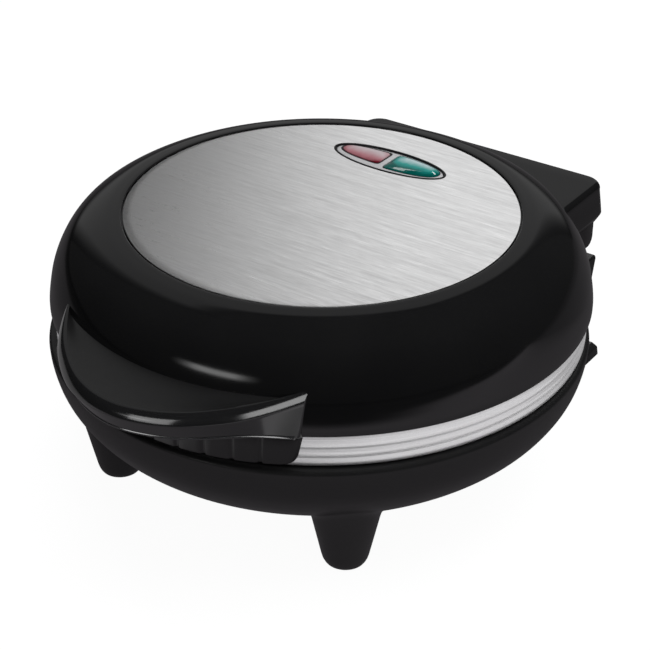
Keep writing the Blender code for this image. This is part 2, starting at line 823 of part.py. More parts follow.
def grip(bm):
    """A curved block under the handle, with upright ribs across its front."""
    groove_at = [5.75 * k for k in range(-4, 5)]
    stations = []
    for g in groove_at:
        stations += [(g - 0.5, 0.0), (g - 0.22, 0.7), (g + 0.22, 0.7), (g + 0.5, 0.0)]
    stations = [(-GRIP_DEG, 1.4), (-GRIP_DEG + 0.9, 0.0)] + stations + [(GRIP_DEG - 0.9, 0.0), (GRIP_DEG, 1.4)]
    sections = []
    for deg, depth in stations:
        t = math.radians(deg)
        end = max(0.0, (abs(deg) - 29.0) / 2.0)
        low = 63.6 + 2.4 * end * end
        outer = grip_radius(deg) - depth
        loop = []
        for r, z in ((108.85, low), (outer - 0.5, low), (outer, low + 0.6), (outer, 75.3), (108.85, 75.3)):
            loop.append((r * math.sin(t), -r * math.cos(t), z))
        sections.append(loop)
    rings(bm, sections)


solid("handle_grip", grip, LID, satin_black)

# ---- inside the lid -----------------------------------------------------------------
plate("upper_plate", corners(LID_POST, LID_POST), 88.0, UPPER_FACE, UPPER_DEPTH, True, LID)
high_z = UPPER_BACK + GAP + HEATER_TUBE_R
tube("upper_heater", thin_route(heater_route(high_z, high_z + 3.0)), HEATER_TUBE_R, LID, bright_steel, 1)
solid(
    "upper_reflector",
    lambda bm: turn(
        bm,
        ((0.0, 93.4), (60.0, 93.4), (64.4, 89.4), (63.6, 89.0), (59.6, 92.6), (0.0, 92.6)),
        36,
    ),
    LID,
    sheet,
)
solid(
    "thermostat",
    lambda bm: turn(
        bm,
        ((0.0, UPPER_BACK + GAP), (8.0, UPPER_BACK + GAP), (8.0, 84.6), (6.2, 84.8), (6.2, 90.4), (0.0, 90.4)),
        16,
        (32.0, -6.0),
    ),
    LID,
    ceramic,
)
for where, (x, y) in zip(FEET, corners(LID_POST, LID_POST)):
    solid(
        "lid_screw_" + where,
        lambda bm, c=(x, y): turn(
            bm, ((0.0, 110.8), (3.2, 110.6), (3.6, 108.9), (1.6, 108.9), (1.6, 80.2), (0.0, 80.2)), 10, c
        ),
        LID,
        bright_steel,
    )
tube(
    "hinge_sleeve_lid",
    [(12.0, 117.0, 68.0), (18.0, 117.0, 68.6), (22.0, 116.6, 73.0), (22.0, 114.0, 78.5), (20.0, 106.0, 81.8), (17.0, 97.0, 83.2)],
    2.0,
    LID,
    wire,
    1,
)
for name, s in (("lid_live_lead", -1), ("lid_neutral_lead", 1)):
    tube(
        name,
        [(s * 10.0, 85.2, high_z + 3.2), (s * 10.6, 88.5, high_z + 6.0), (s * 11.5, 88.5, 94.0), (s * 12.0, 80.0, 98.0), (s * 12.0, 66.0, 98.8)],
        1.3,
        LID,
        wire,
        1,
    )
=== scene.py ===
"""Looks of the omelette maker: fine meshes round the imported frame, procedural finishes, studio light and camera.

Lengths below are millimetres in the object's own frame, measured from the vertical axis of its round body.
"""

import math

import bmesh
import bpy
from mathutils import Matrix, Vector

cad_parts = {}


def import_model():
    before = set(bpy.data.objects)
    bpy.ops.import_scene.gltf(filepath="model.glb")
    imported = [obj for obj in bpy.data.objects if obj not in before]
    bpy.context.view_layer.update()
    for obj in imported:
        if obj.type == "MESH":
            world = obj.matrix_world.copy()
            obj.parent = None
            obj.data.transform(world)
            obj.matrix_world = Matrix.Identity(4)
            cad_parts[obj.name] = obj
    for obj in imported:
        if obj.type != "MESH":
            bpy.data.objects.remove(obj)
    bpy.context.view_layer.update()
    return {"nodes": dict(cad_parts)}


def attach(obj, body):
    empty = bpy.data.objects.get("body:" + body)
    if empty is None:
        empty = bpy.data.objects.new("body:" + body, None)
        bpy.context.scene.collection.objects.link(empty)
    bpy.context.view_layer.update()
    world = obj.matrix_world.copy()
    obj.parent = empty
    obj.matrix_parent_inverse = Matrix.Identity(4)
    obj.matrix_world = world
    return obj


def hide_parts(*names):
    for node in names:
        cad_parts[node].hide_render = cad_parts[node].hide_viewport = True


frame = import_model()

MM = 0.001
AXIS_Y = 1.1
N = 240  # segments round the body

# ---- the construction's own sizes, repeated here ---------------------------------
PARTING_Z = 62.85
DECK_Z = 111.05
DISC_R, DISC_Z, DISC_T = 79.3, 111.35, 1.0
HINGE_Y, HINGE_Z = 117.0, 68.0
KNUCKLE_R, EAR_R = 8.2, 5.0
BASE_SHIFT_Y = -1.5
FEET = {
    "front_left": (-56.3, -66.4),
    "rear_left": (-55.8, 65.0),
    "front_right": (55.4, -63.4),
    "rear_right": (55.8, 65.0),
}
PLATE_R, PLATE_T = 104.3, 3.4
POCKET_R, POCKET_X, POCKET_CORNER = 91.0, 6.0, 13.0
BEZEL_X, BEZEL_Y = -1.0, 51.2
HANDLE_X, HANDLE_TOP_Z = 57.2, 91.0
GRIP_DEG = 30.7
WALL_LEAN = 5.4 / 25.6


# ==== mesh helpers ==================================================================
def to_object(bm, name, sharp=32.0, recalc=True):
    if recalc:
        bmesh.ops.recalc_face_normals(bm, faces=bm.faces)
    for v in bm.verts:
        v.co = Vector((v.co.x * MM, (v.co.y + AXIS_Y) * MM, v.co.z * MM))
    mesh = bpy.data.meshes.new(name)
    bm.to_mesh(mesh)
    bm.free()
    mesh.shade_smooth()
    mesh.set_sharp_from_angle(angle=math.radians(sharp))
    obj = bpy.data.objects.new(name, mesh)
    bpy.context.scene.collection.objects.link(obj)
    return obj


def skin(bm, loops, cap=(True, True), closed=False, around=True):
    """Faces between a row of point loops. A loop of one point closes to a tip."""
    made = [[bm.verts.new(p) for p in loop] for loop in loops]
    pairs = list(zip(made, made[1:]))
    if closed:
        pairs.append((made[-1], made[0]))
    for a, b in pairs:
        n = max(len(a), len(b))
        for i in range(n if around else n - 1):
            j = (i + 1) % n
            if len(a) == 1:
                bm.faces.new((a[0], b[i], b[j]))
            elif len(b) == 1:
                bm.faces.new((a[i], a[j], b[0]))
            else:
                bm.faces.new((a[i], a[j], b[j], b[i]))
    if not closed:
        if cap[0] and len(made[0]) > 2:
            bm.faces.new(made[0])
        if cap[1] and len(made[-1]) > 2:
            bm.faces.new(made[-1])
    return made


def ring_of(r, z, count=N, centre=(0.0, 0.0)):
    if r < 1e-6:
        return [(centre[0], centre[1], z)]
    step = 2 * math.pi / count
    return [(centre[0] + r * math.cos(step * i), centre[1] + r * math.sin(step * i), z) for i in range(count)]


def flow(points, per=6):
    """A smooth open curve through the points (centripetal Catmull-Rom)."""
    pts = [tuple(p) for p in points]
    if len(pts) < 3:
        return pts
    first = tuple(2 * a - b for a, b in zip(pts[0], pts[1]))
    last = tuple(2 * a - b for a, b in zip(pts[-1], pts[-2]))
    p = [first] + pts + [last]
    out = []
    for i in range(1, len(p) - 2):
        p0, p1, p2, p3 = p[i - 1 : i + 3]
        t0 = 0.0
        t1 = t0 + math.dist(p0, p1) ** 0.5
        t2 = t1 + math.dist(p1, p2) ** 0.5
        t3 = t2 + math.dist(p2, p3) ** 0.5
        for k in range(per):
            t = t1 + (t2 - t1) * k / per
            a1 = [(t1 - t) / (t1 - t0) * a + (t - t0) / (t1 - t0) * b for a, b in zip(p0, p1)]
            a2 = [(t2 - t) / (t2 - t1) * a + (t - t1) / (t2 - t1) * b for a, b in zip(p1, p2)]
            a3 = [(t3 - t) / (t3 - t2) * a + (t - t2) / (t3 - t2) * b for a, b in zip(p2, p3)]
            b1 = [(t2 - t) / (t2 - t0) * a + (t - t0) / (t2 - t0) * b for a, b in zip(a1, a2)]
            b2 = [(t3 - t) / (t3 - t1) * a + (t - t1) / (t3 - t1) * b for a, b in zip(a2, a3)]
            out.append(tuple((t2 - t) / (t2 - t1) * a + (t - t1) / (t2 - t1) * b for a, b in zip(b1, b2)))
    out.append(pts[-1])
    return out


def rounded(points, radii, steps=4, closed=True):
    """A polygon of 2D points with its corners rounded. radii is one number or one for each point."""
    n = len(points)
    if not hasattr(radii, "__len__"):
        radii = [radii] * n
    out = []
    for i in range(n):
        if not closed and i in (0, n - 1):
            out.append(tuple(points[i]))
            continue
        p = Vector(points[i])
        a = Vector(points[i - 1]) - p
        b = Vector(points[(i + 1) % n]) - p
        la, lb = a.length, b.length
        a, b = a / la, b / lb
        half = math.acos(max(-1.0, min(1.0, a.dot(b)))) / 2
        if radii[i] <= 0 or half > math.radians(88):
            out.append(tuple(p))
            continue
        back = min(radii[i] / math.tan(half), 0.48 * la, 0.48 * lb)
        r = back * math.tan(half)
        middle = p + (a + b).normalized() * (r / math.sin(half))
        start, end = p + a * back - middle, p + b * back - middle
        a0 = math.atan2(start.y, start.x)
        turn = (math.atan2(end.y, end.x) - a0 + math.pi) % (2 * math.pi) - math.pi
        for k in range(steps + 1):
            t = a0 + turn * k / steps
            out.append((middle.x + r * math.cos(t), middle.y + r * math.sin(t)))
    return out


def inset_loop(points, d):
    """A closed 2D loop moved inwards by d."""
    n = len(points)
    area = sum(points[i][0] * points[(i + 1) % n][1] - points[(i + 1) % n][0] * points[i][1] for i in range(n))
    s = 1.0 if area > 0 else -1.0
    out = []
    for i in range(n):
        p, q, r = Vector(points[i - 1]), Vector(points[i]), Vector(points[(i + 1) % n])
        e1, e2 = q - p, r - q
        if e1.length < 1e-9 or e2.length < 1e-9:
            e1 = e2 = r - p
        n1 = Vector((-e1.y, e1.x)).normalized() * s
        n2 = Vector((-e2.y, e2.x)).normalized() * s
        m = (n1 + n2).normalized()
        out.append(tuple(q + m * (d / max(0.5, m.dot(n1)))))
    return out


def turned(name, profile, count=N, centre=(0.0, 0.0), closed=False, sharp=32.0):
    bm = bmesh.new()
    skin(bm, [ring_of(r, z, count, centre) for r, z in profile], closed=closed)
    return to_object(bm, name, sharp)


def slab(bm, outline, x0, x1, edge=0.6, steps=3):
    """A side-view outline of (y, z) between x0 and x1, its two long edges rounded."""
    if x0 > x1:
        x0, x1 = x1, x0
    quarter = [math.pi / 2 * k / steps for k in range(steps + 1)]
    rows = [(x0 + edge * (1 - math.cos(t)), edge * (1 - math.sin(t))) for t in quarter]
    far = [(x1 - (x - x0), d) for x, d in reversed(rows)]
    loops = []
    for x, d in rows + far:
        loops.append([(x, y, z) for y, z in (inset_loop(outline, d) if d > 1e-6 else outline)])
    skin(bm, loops)


def boolean(obj, other, operation, keep=False):
    mod = obj.modifiers.new("cut", "BOOLEAN")
    mod.operation = operation
    mod.object = other
    mod.solver = "EXACT"
    bpy.context.view_layer.update()
    dg = bpy.context.evaluated_depsgraph_get()
    made = bpy.data.meshes.new_from_object(obj.evaluated_get(dg))
    obj.modifiers.remove(mod)
    old = obj.data
    obj.data = made
    bpy.data.meshes.remove(old)
    if not keep:
        gone = other.data
        bpy.data.objects.remove(other, do_unlink=True)
        bpy.data.meshes.remove(gone)


def reshade(obj, sharp=32.0):
    obj.data.shade_smooth()
    obj.data.set_sharp_from_angle(angle=math.radians(sharp))


def drop_slivers(obj, dist=0.00001):
    bm = bmesh.new()
    bm.from_mesh(obj.data)
    bmesh.ops.remove_doubles(bm, verts=bm.verts, dist=dist)
    bmesh.ops.dissolve_degenerate(bm, edges=bm.edges, dist=dist)
    bm.to_mesh(obj.data)
    bm.free()


def finish_piece(obj, body, mat, nodes=()):
    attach(obj, body)
    if nodes:
        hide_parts(*nodes)
    obj.data.materials.clear()
    obj.data.materials.append(mat)
    return obj


# ==== materials =====================================================================
class Paint:
    """A Principled material with the nodes that its finish needs."""

    def __init__(self, name, colour, roughness, metallic=0.0, specular=0.5):
        self.mat = bpy.data.materials.new(name)
        self.mat.use_nodes = True
        self.tree = self.mat.node_tree
        self.shader = self.tree.nodes["Principled BSDF"]
        self.set("Base Color", (*colour, 1.0))
        self.set("Roughness", roughness)
        self.set("Metallic", metallic)
        self.set("Specular IOR Level", specular)
        self.mat.diffuse_color = (*colour, 1.0)
        self.coords = self.add("ShaderNodeTexCoord")
        self.last_normal = None

    def add(self, kind, **values):
        node = self.tree.nodes.new(kind)
        for key, value in values.items():
            if hasattr(node, key):
                setattr(node, key, value)
            else:
                node.inputs[key.replace("_", " ")].default_value = value
        return node

    def set(self, socket, value):
        self.shader.inputs[socket].default_value = value

    def link(self, a, b):
        self.tree.links.new(a, b)

    def mapped(self, scale=(1.0, 1.0, 1.0), rotation=(0.0, 0.0, 0.0)):
        node = self.add("ShaderNodeMapping")
        node.inputs["Scale"].default_value = scale
        node.inputs["Rotation"].default_value = rotation
        self.link(self.coords.outputs["Object"], node.inputs["Vector"])
        return node.outputs["Vector"]

    def noise(self, scale, detail=2.0, roughness=0.5, vector=None, distortion=0.0):
        node = self.add("ShaderNodeTexNoise")
        node.inputs["Scale"].default_value = scale
        node.inputs["Detail"].default_value = detail
        node.inputs["Roughness"].default_value = roughness
        node.inputs["Distortion"].default_value = distortion
        self.link(vector if vector is not None else self.coords.outputs["Object"], node.inputs["Vector"])
        return node.outputs["Fac"]

    def voronoi(self, scale, feature="F1", vector=None, randomness=1.0):
        node = self.add("ShaderNodeTexVoronoi")
        node.feature = feature
        node.inputs["Scale"].default_value = scale
        node.inputs["Randomness"].default_value = randomness
        self.link(vector if vector is not None else self.coords.outputs["Object"], node.inputs["Vector"])
        return node.outputs["Distance"]

    def span(self, value, low, high, to_low, to_high, smooth=False):
        node = self.add("ShaderNodeMapRange")
        node.interpolation_type = "SMOOTHSTEP" if smooth else "LINEAR"
        for key, v in (("From Min", low), ("From Max", high), ("To Min", to_low), ("To Max", to_high)):
            node.inputs[key].default_value = v
        self.link(value, node.inputs["Value"])
        return node.outputs["Result"]

    def sums(self, a, b, operation="ADD"):
        node = self.add("ShaderNodeMath")
        node.operation = operation
        self.link(a, node.inputs[0])
        if isinstance(b, (int, float)):
            node.inputs[1].default_value = b
        else:
            self.link(b, node.inputs[1])
        return node.outputs[0]

    def colours(self, factor, *stops):
        node = self.add("ShaderNodeValToRGB")
        ramp = node.color_ramp
        while len(ramp.elements) < len(stops):
            ramp.elements.new(0.5)
        for element, (at, colour) in zip(ramp.elements, stops):
            element.position = at
            element.color = (*colour, 1.0)
        self.link(factor, node.inputs["Fac"])
        self.link(node.outputs["Color"], self.shader.inputs["Base Color"])
        return node.outputs["Color"]

    def rough(self, factor, low, high, at=(0.3, 0.7)):
        self.link(self.span(factor, at[0], at[1], low, high), self.shader.inputs["Roughness"])

    def bump(self, height, strength, distance):
        node = self.add("ShaderNodeBump")
        node.inputs["Strength"].default_value = strength
        node.inputs["Distance"].default_value = distance
        self.link(height, node.inputs["Height"])
        if self.last_normal is not None:
            self.link(self.last_normal, node.inputs["Normal"])
        self.last_normal = node.outputs["Normal"]
        self.link(self.last_normal, self.shader.inputs["Normal"])


def moulded(name, colour, light, roughness, spread, grain=2600.0, depth=0.00004, specular=0.5, waves=0.0):
    """Moulded plastic: fine grain, slow waves in its gloss, and faint handling marks."""
    p = Paint(name, colour, roughness, specular=specular)
    slow = p.noise(38.0, 3.0)
    fine = p.noise(grain, 2.0, 0.6)
    marks = p.noise(240.0, 4.0, 0.65, p.mapped((1.0, 1.0, 3.0)))
    p.colours(p.sums(p.sums(slow, 0.6, "MULTIPLY"), p.sums(fine, 0.4, "MULTIPLY")), (0.3, colour), (0.75, light))
    p.rough(p.sums(p.sums(slow, 0.55, "MULTIPLY"), p.sums(marks, 0.45, "MULTIPLY")), roughness - spread, roughness + spread)
    if waves:
        p.bump(p.noise(55.0, 1.0), waves, 0.0005)
    p.bump(fine, 0.35, depth)
    return p.mat


gloss_black = moulded(
    "gloss_black_plastic", (0.0068, 0.0068, 0.0072), (0.0088, 0.0088, 0.0092), 0.10, 0.022, 900.0, 0.000004, 0.72, 0.012
)
satin_black = moulded(
    "satin_black_plastic", (0.0110, 0.0110, 0.0114), (0.0155, 0.0155, 0.0158), 0.38, 0.05, 2400.0, 0.00005, 0.6
)
# the feet take the bowl's satin black painted lighter: painted light standing in for the light the feet catch
feet_painted_lighter = moulded(
    "feet_plastic_painted_lighter", (0.0265, 0.0262, 0.0268), (0.0330, 0.0326, 0.0333), 0.38, 0.05, 2400.0, 0.00005, 0.6
)
handle_black = moulded(
    "handle_black_plastic", (0.0055, 0.0055, 0.0059), (0.0078, 0.0078, 0.0082), 0.14, 0.03, 1500.0, 0.000008, 0.72, 0.010
)
scoop_black = moulded(
    "scoop_black_plastic", (0.0100, 0.0100, 0.0103), (0.0142, 0.0142, 0.0144), 0.33, 0.06, 1700.0, 0.00003, 0.55, 0.02
)
grip_black = moulded(
    "grip_black_plastic", (0.007, 0.007, 0.0074), (0.010, 0.010, 0.0103), 0.34, 0.05, 2600.0, 0.00004, 0.6
)
bezel_black = moulded("bezel_black_plastic", (0.010, 0.010, 0.011), (0.016, 0.016, 0.017), 0.3, 0.04, 3000.0, 0.00002, 0.5)


def rubber_paint():
    p = Paint("black_rubber_pad", (0.018, 0.018, 0.018), 0.8, specular=0.3)
    fine = p.noise(1900.0, 3.0, 0.7)
    slow = p.noise(120.0, 3.0)
    p.colours(slow, (0.3, (0.014, 0.014, 0.014)), (0.7, (0.030, 0.029, 0.028)))
    p.rough(fine, 0.72, 0.9)
    p.bump(fine, 0.6, 0.00012)
    return p.mat


rubber = rubber_paint()


def brushed(name, dark, light, roughness, spread, along, strength, anisotropy=0.65, metallic=1.0, uv=False):
    """Brushed metal. along stretches the grain: a small number along the brush lines, a large one across them."""
    p = Paint(name, light, roughness, metallic=metallic)
    vector = p.mapped(along)
    hair = p.noise(1.0, 4.0, 0.68, vector)
    broad_scale = tuple(v * 0.28 for v in along)
    broad = p.noise(1.0, 3.0, 0.6, p.mapped(broad_scale))
    patch = p.noise(17.0, 2.0)
    mixed = p.sums(p.sums(hair, 0.56, "MULTIPLY"), p.sums(broad, 0.44, "MULTIPLY"))
    streak = p.sums(mixed, p.sums(p.sums(patch, 0.5, "SUBTRACT"), 0.10, "MULTIPLY"))
    p.colours(streak, (0.34, dark), (0.5, tuple((a + b) / 2 for a, b in zip(dark, light))), (0.64, light))
    p.rough(streak, roughness + spread, roughness - spread, (0.36, 0.64))
    p.set("Anisotropic", anisotropy)
    if uv:
        tangent = p.add("ShaderNodeTangent")
        tangent.direction_type = "UV_MAP"
        tangent.uv_map = "brush"
    else:
        tangent = p.add("ShaderNodeTangent")
        tangent.direction_type = "RADIAL"
        tangent.axis = "Z"
    p.link(tangent.outputs["Tangent"], p.shader.inputs["Tangent"])
    p.bump(mixed, strength, 0.00006)
    return p.mat


disc_steel = brushed(
    "brushed_steel_disc", (0.52, 0.52, 0.522), (0.71, 0.71, 0.712), 0.32, 0.05, (120.0, 2700.0, 400.0), 0.26, 0.72, 1.0, True
)


def ring_paint():
    """The satin silver ring: very fine sparkle and soft lines that run round it."""
    p = Paint("satin_silver_ring", (0.62, 0.62, 0.625), 0.36, metallic=0.85)
    spark = p.noise(3400.0, 2.0, 0.7)
    lines = p.noise(1.0, 3.0, 0.6, p.mapped((30.0, 30.0, 2200.0)))
    slow = p.noise(30.0, 2.0)
    mixed = p.sums(p.sums(spark, 0.55, "MULTIPLY"), p.sums(lines, 0.45, "MULTIPLY"))
    p.colours(mixed, (0.33, (0.50, 0.50, 0.505)), (0.66, (0.70, 0.70, 0.705)))
    p.rough(p.sums(p.sums(slow, 0.4, "MULTIPLY"), p.sums(mixed, 0.6, "MULTIPLY")), 0.32, 0.44)
    p.bump(mixed, 0.25, 0.00004)
    return p.mat


ring_silver = ring_paint()


def frame_paint():
    p = Paint("satin_silver_bezel", (0.50, 0.50, 0.51), 0.34, metallic=0.8)
    spark = p.noise(3000.0, 2.0, 0.7)
    slow = p.noise(90.0, 2.0)
    p.colours(p.sums(p.sums(spark, 0.6, "MULTIPLY"), p.sums(slow, 0.4, "MULTIPLY")), (0.34, (0.36, 0.36, 0.37)), (0.66, (0.55, 0.55, 0.56)))
    p.rough(spark, 0.28, 0.42)
    p.bump(spark, 0.2, 0.00003)
    return p.mat


frame_silver = frame_paint()


def lens_paint(name, deep, mid, pale, centre_x, low, middle):
    """A clear coloured lens: painted shade makes it deep at its rim and near edge, and a painted reflection makes it
    pale towards its far edge.
    """
    p = Paint(name, mid, 0.06, specular=0.6)
    place = p.add("ShaderNodeMapping")
    place.inputs["Scale"].default_value = (1 / 0.0125, 1 / 0.0074, 0.0)
    place.inputs["Location"].default_value = (-centre_x * MM / 0.0125, -(BEZEL_Y + AXIS_Y) * MM / 0.0074, 0.0)
    p.link(p.coords.outputs["Object"], place.inputs["Vector"])
    length = p.add("ShaderNodeVectorMath")
    length.operation = "LENGTH"
    p.link(place.outputs["Vector"], length.inputs[0])
    # painted shade: the colour deepens towards the lens's rim
    rim = p.span(length.outputs["Value"], 0.62, 1.02, 0.0, 1.0, True)
    split = p.add("ShaderNodeSeparateXYZ")
    p.link(place.outputs["Vector"], split.inputs["Vector"])
    # painted reflection and painted shade: pale towards the far edge, deep towards the near edge
    across = p.span(split.outputs["Y"], -0.95, 0.75, 0.0, 1.0)
    prism = p.voronoi(620.0, "SMOOTH_F1", p.mapped((1.0, 0.8, 1.0)))
    wander = p.noise(190.0, 3.0)
    body = p.sums(p.sums(across, 0.86, "MULTIPLY"), p.sums(p.sums(prism, 0.06, "MULTIPLY"), p.sums(wander, 0.16, "MULTIPLY")))
    p.colours(p.sums(body, p.sums(rim, 0.34, "MULTIPLY"), "SUBTRACT"), (low, deep), (middle, mid), (0.82, pale))
    p.set("Coat Weight", 0.5)
    p.set("Coat Roughness", 0.03)
    p.rough(wander, 0.04, 0.10)
    p.bump(prism, 0.08, 0.0002)
    return p.mat


# each lens's pale colour is a painted reflection, and its deep colour painted shade
red_lens = lens_paint("red_lens", (0.14, 0.006, 0.016), (0.40, 0.16, 0.185), (0.56, 0.48, 0.50), BEZEL_X - 12.0, 0.20, 0.46)
green_lens = lens_paint("green_lens", (0.0, 0.085, 0.072), (0.010, 0.27, 0.24), (0.44, 0.58, 0.60), BEZEL_X + 12.0, 0.32, 0.56)


def cast_paint():
    """Non-stick coating on cast aluminium: near black, with fine pale specks and soft wear."""
    p = Paint("non_stick_cast", (0.022, 0.022, 0.024), 0.42, specular=0.45)
    specks = p.voronoi(900.0)
    fine = p.noise(1500.0, 3.0, 0.7)
    slow = p.noise(26.0, 3.0)
    value = p.sums(p.span(specks, 0.0, 0.16, 1.0, 0.0), p.sums(slow, 0.55, "MULTIPLY"))
    p.colours(value, (0.3, (0.034, 0.034, 0.036)), (0.62, (0.050, 0.050, 0.052)), (1.0, (0.15, 0.15, 0.155)))
    p.rough(p.sums(p.sums(slow, 0.5, "MULTIPLY"), p.sums(fine, 0.5, "MULTIPLY")), 0.34, 0.5)
    p.bump(fine, 0.4, 0.00006)
    return p.mat


cast_coated = cast_paint()


def plain_metal(name, dark, light, roughness, grain=900.0):
    p = Paint(name, light, roughness, metallic=1.0)
    fine = p.noise(grain, 3.0, 0.65)
    slow = p.noise(70.0, 3.0)
    p.colours(p.sums(p.sums(fine, 0.4, "MULTIPLY"), p.sums(slow, 0.6, "MULTIPLY")), (0.32, dark), (0.68, light))
    p.rough(slow, roughness - 0.07, roughness + 0.09)
    p.bump(fine, 0.25, 0.00004)
    return p.mat


zinc = plain_metal("zinc_plated_steel", (0.40, 0.40, 0.38), (0.62, 0.62, 0.60), 0.34)
heater_metal = plain_metal("heater_sheath_steel", (0.20, 0.19, 0.18), (0.42, 0.41, 0.39), 0.42)
sheet_metal = plain_metal("aluminised_sheet", (0.46, 0.47, 0.48), (0.64, 0.65, 0.66), 0.38, 500.0)


def ceramic_paint():
    p = Paint("glazed_ceramic", (0.72, 0.69, 0.62), 0.45, specular=0.5)
    slow, fine = p.noise(130.0, 3.0), p.noise(1300.0, 2.0)
    p.colours(slow, (0.3, (0.62, 0.59, 0.52)), (0.7, (0.78, 0.75, 0.69)))
    p.rough(fine, 0.38, 0.58)
    p.bump(fine, 0.3, 0.00008)
    return p.mat


def silicone_paint():
    p = Paint("silicone_sleeve", (0.62, 0.62, 0.60), 0.6, specular=0.4)
    slow, fine = p.noise(220.0, 2.0), p.noise(1800.0, 3.0, 0.7)
    p.colours(slow, (0.3, (0.52, 0.52, 0.50)), (0.7, (0.68, 0.68, 0.66)))
    p.rough(slow, 0.5, 0.68)
    p.bump(fine, 0.4, 0.0001)
    return p.mat


def glass_paint():
    p = Paint("lamp_glass", (0.85, 0.62, 0.45), 0.08)
    p.set("Transmission Weight", 0.7)
    p.set("IOR", 1.5)
    slow = p.noise(300.0, 2.0)
    p.colours(slow, (0.3, (0.80, 0.56, 0.40)), (0.7, (0.92, 0.72, 0.55)))
    p.rough(slow, 0.05, 0.14)
    return p.mat


ceramic, silicone, glass = ceramic_paint(), silicone_paint(), glass_paint()

# ==== lid shell ======================================================================
LID_CURVE = flow(
    [
        (81.7, 112.7), (86.4, 111.85), (92.8, 109.2), (98.6, 105.5), (102.8, 101.0), (106.3, 94.9),
        (108.5, 89.0), (109.7, 83.2), (110.3, 79.0), (110.35, 77.0),
    ],
    7,
)


def ellipse_through(circle_points, a, b, z):
    """Points of the window's ellipse, each on the line from its centre to a point of a circle."""
    out = []
    for x, y, _ in circle_points:
        dx, dy = x - BEZEL_X, y - BEZEL_Y
        k = 1.0 / math.sqrt((dx / a) ** 2 + (dy / b) ** 2)
        out.append((BEZEL_X + dx * k, BEZEL_Y + dy * k, z))
    return out


def lid_dome():
    outer = [(80.0, 111.05), (80.0, 112.2)] + [
        (80.6 - 0.6 * math.cos(math.radians(a)), 112.2 + 0.5 * math.sin(math.radians(a))) for a in (22, 45, 68, 88)
    ]
    outer += LID_CURVE + [(110.2, 76.6), (109.95, 76.2), (109.6, 76.05), (108.9, 76.05)]
    inner = [
        (108.5, 75.8), (108.5, 79.3), (107.2, 80.4), (106.6, 83.0), (105.2, 88.0), (102.7, 93.8), (99.6, 99.6), (95.9, 103.5),
        (91.2, 106.6), (85.6, 108.5), (84.0, 108.7),
    ]
    bm = bmesh.new()
    rim = ring_of(80.0, 111.05)
    loops = [ellipse_through(rim, 25.8, 8.7, 108.7), ellipse_through(rim, 25.8, 8.7, 111.05)]
    loops += [ring_of(r, z) for r, z in outer + inner]
    skin(bm, loops, closed=True)
    return to_object(bm, "lid_dome", 40.0)


dome = finish_piece(lid_dome(), "lid", gloss_black, ["lid_shell"])


def arc_front(half, radius, centre_y, count=25):
    """Points on an arc round the body from +half to -half."""
    reach = math.asin(half / radius)
    out = []
    for i in range(count):
        a = reach - 2 * reach * i / (count - 1)
        out.append((radius * math.sin(a), centre_y + radius * math.cos(a)))
    return out


def box_loop(z, half, rear, corner, radius):
    """The hinge box seen from above: its front follows the shell's wall."""
    pts = []
    for i in range(9):
        a = math.pi / 2 * i / 8
        pts.append((-half + corner - corner * math.cos(a), rear - corner + corner * math.sin(a)))
    for i in range(9):
        a = math.pi / 2 * (8 - i) / 8
        pts.append((half - corner + corner * math.cos(a), rear - corner + corner * math.sin(a)))
    pts += arc_front(half, radius, 0.0)
    return [(x, y, z) for x, y in pts]


def hinge_box():
    rows = []
    for z, half, rear, corner in ((86.2, 57.6, 128.6, 5.0), (85.6, 58.8, 129.8, 5.5), (73.6, 59.2, 130.2, 5.5), (70.2, 58.6, 123.0, 4.0)):
        rows.append(box_loop(z, half, rear, corner, 105.4))
    outer = [(70.0, 60.2, 126.2, 4.0), (70.15, 60.5, 127.0, 4.3)]
    for k in range(1, 6):
        t = k / 6
        outer.append((70.15 + 4.0 * t, 60.5 + 2.2 * t**0.8, 127.0 + 5.8 * t, 4.3 + 3.2 * t))
    outer += [(74.25, 62.72, 132.9, 7.5), (74.7, 62.75, 133.0, 7.6), (79.5, 62.15, 132.9, 7.8), (85.3, 61.4, 132.7, 8.0)]
    for k in range(1, 9):
        t = math.pi / 2 * k / 8
        inset = 2.9 * (1 - math.cos(t))
        outer.append((85.6 + 3.3 * math.sin(t), 61.5 - inset, 132.7 - inset, 8.0 - 0.6 * inset))
    for z, half, rear, corner in outer:
        rows.append(box_loop(z, half, rear, corner, 106.3))
    bm = bmesh.new()
    skin(bm, rows)
    return to_object(bm, "hinge_box", 30.0)


finish_piece(hinge_box(), "lid", gloss_black, ["lid_shell"])


def hinge_knuckles():
    bm = bmesh.new()
    for s in (-1, 1):
        corners = [
            (HINGE_Y + 7.4, 87.0), (HINGE_Y + 7.4, HINGE_Z - KNUCKLE_R), (HINGE_Y - 7.4, HINGE_Z - KNUCKLE_R), (HINGE_Y - 7.4, 87.0),
        ]
        slab(bm, rounded(corners, [0.0, 4.6, 6.6, 0.0], 12), s * 50.0, s * 61.0, 0.7)
    return to_object(bm, "hinge_knuckles", 30.0)


finish_piece(hinge_knuckles(), "lid", gloss_black, ["lid_shell"])


def lid_posts():
    bm = bmesh.new()
    for x in (-51.0, 51.0):
        for y in (-51.0, 51.0):
            profile = [(2.1, 109.4), (6.0, 109.4), (5.4, 88.6), (5.1, 88.3), (2.1, 88.3)]
            skin(bm, [ring_of(r, z, 32, (x, y)) for r, z in profile], closed=True)
    return to_object(bm, "lid_screw_posts", 30.0)


finish_piece(lid_posts(), "lid", gloss_black, ["lid_shell"])


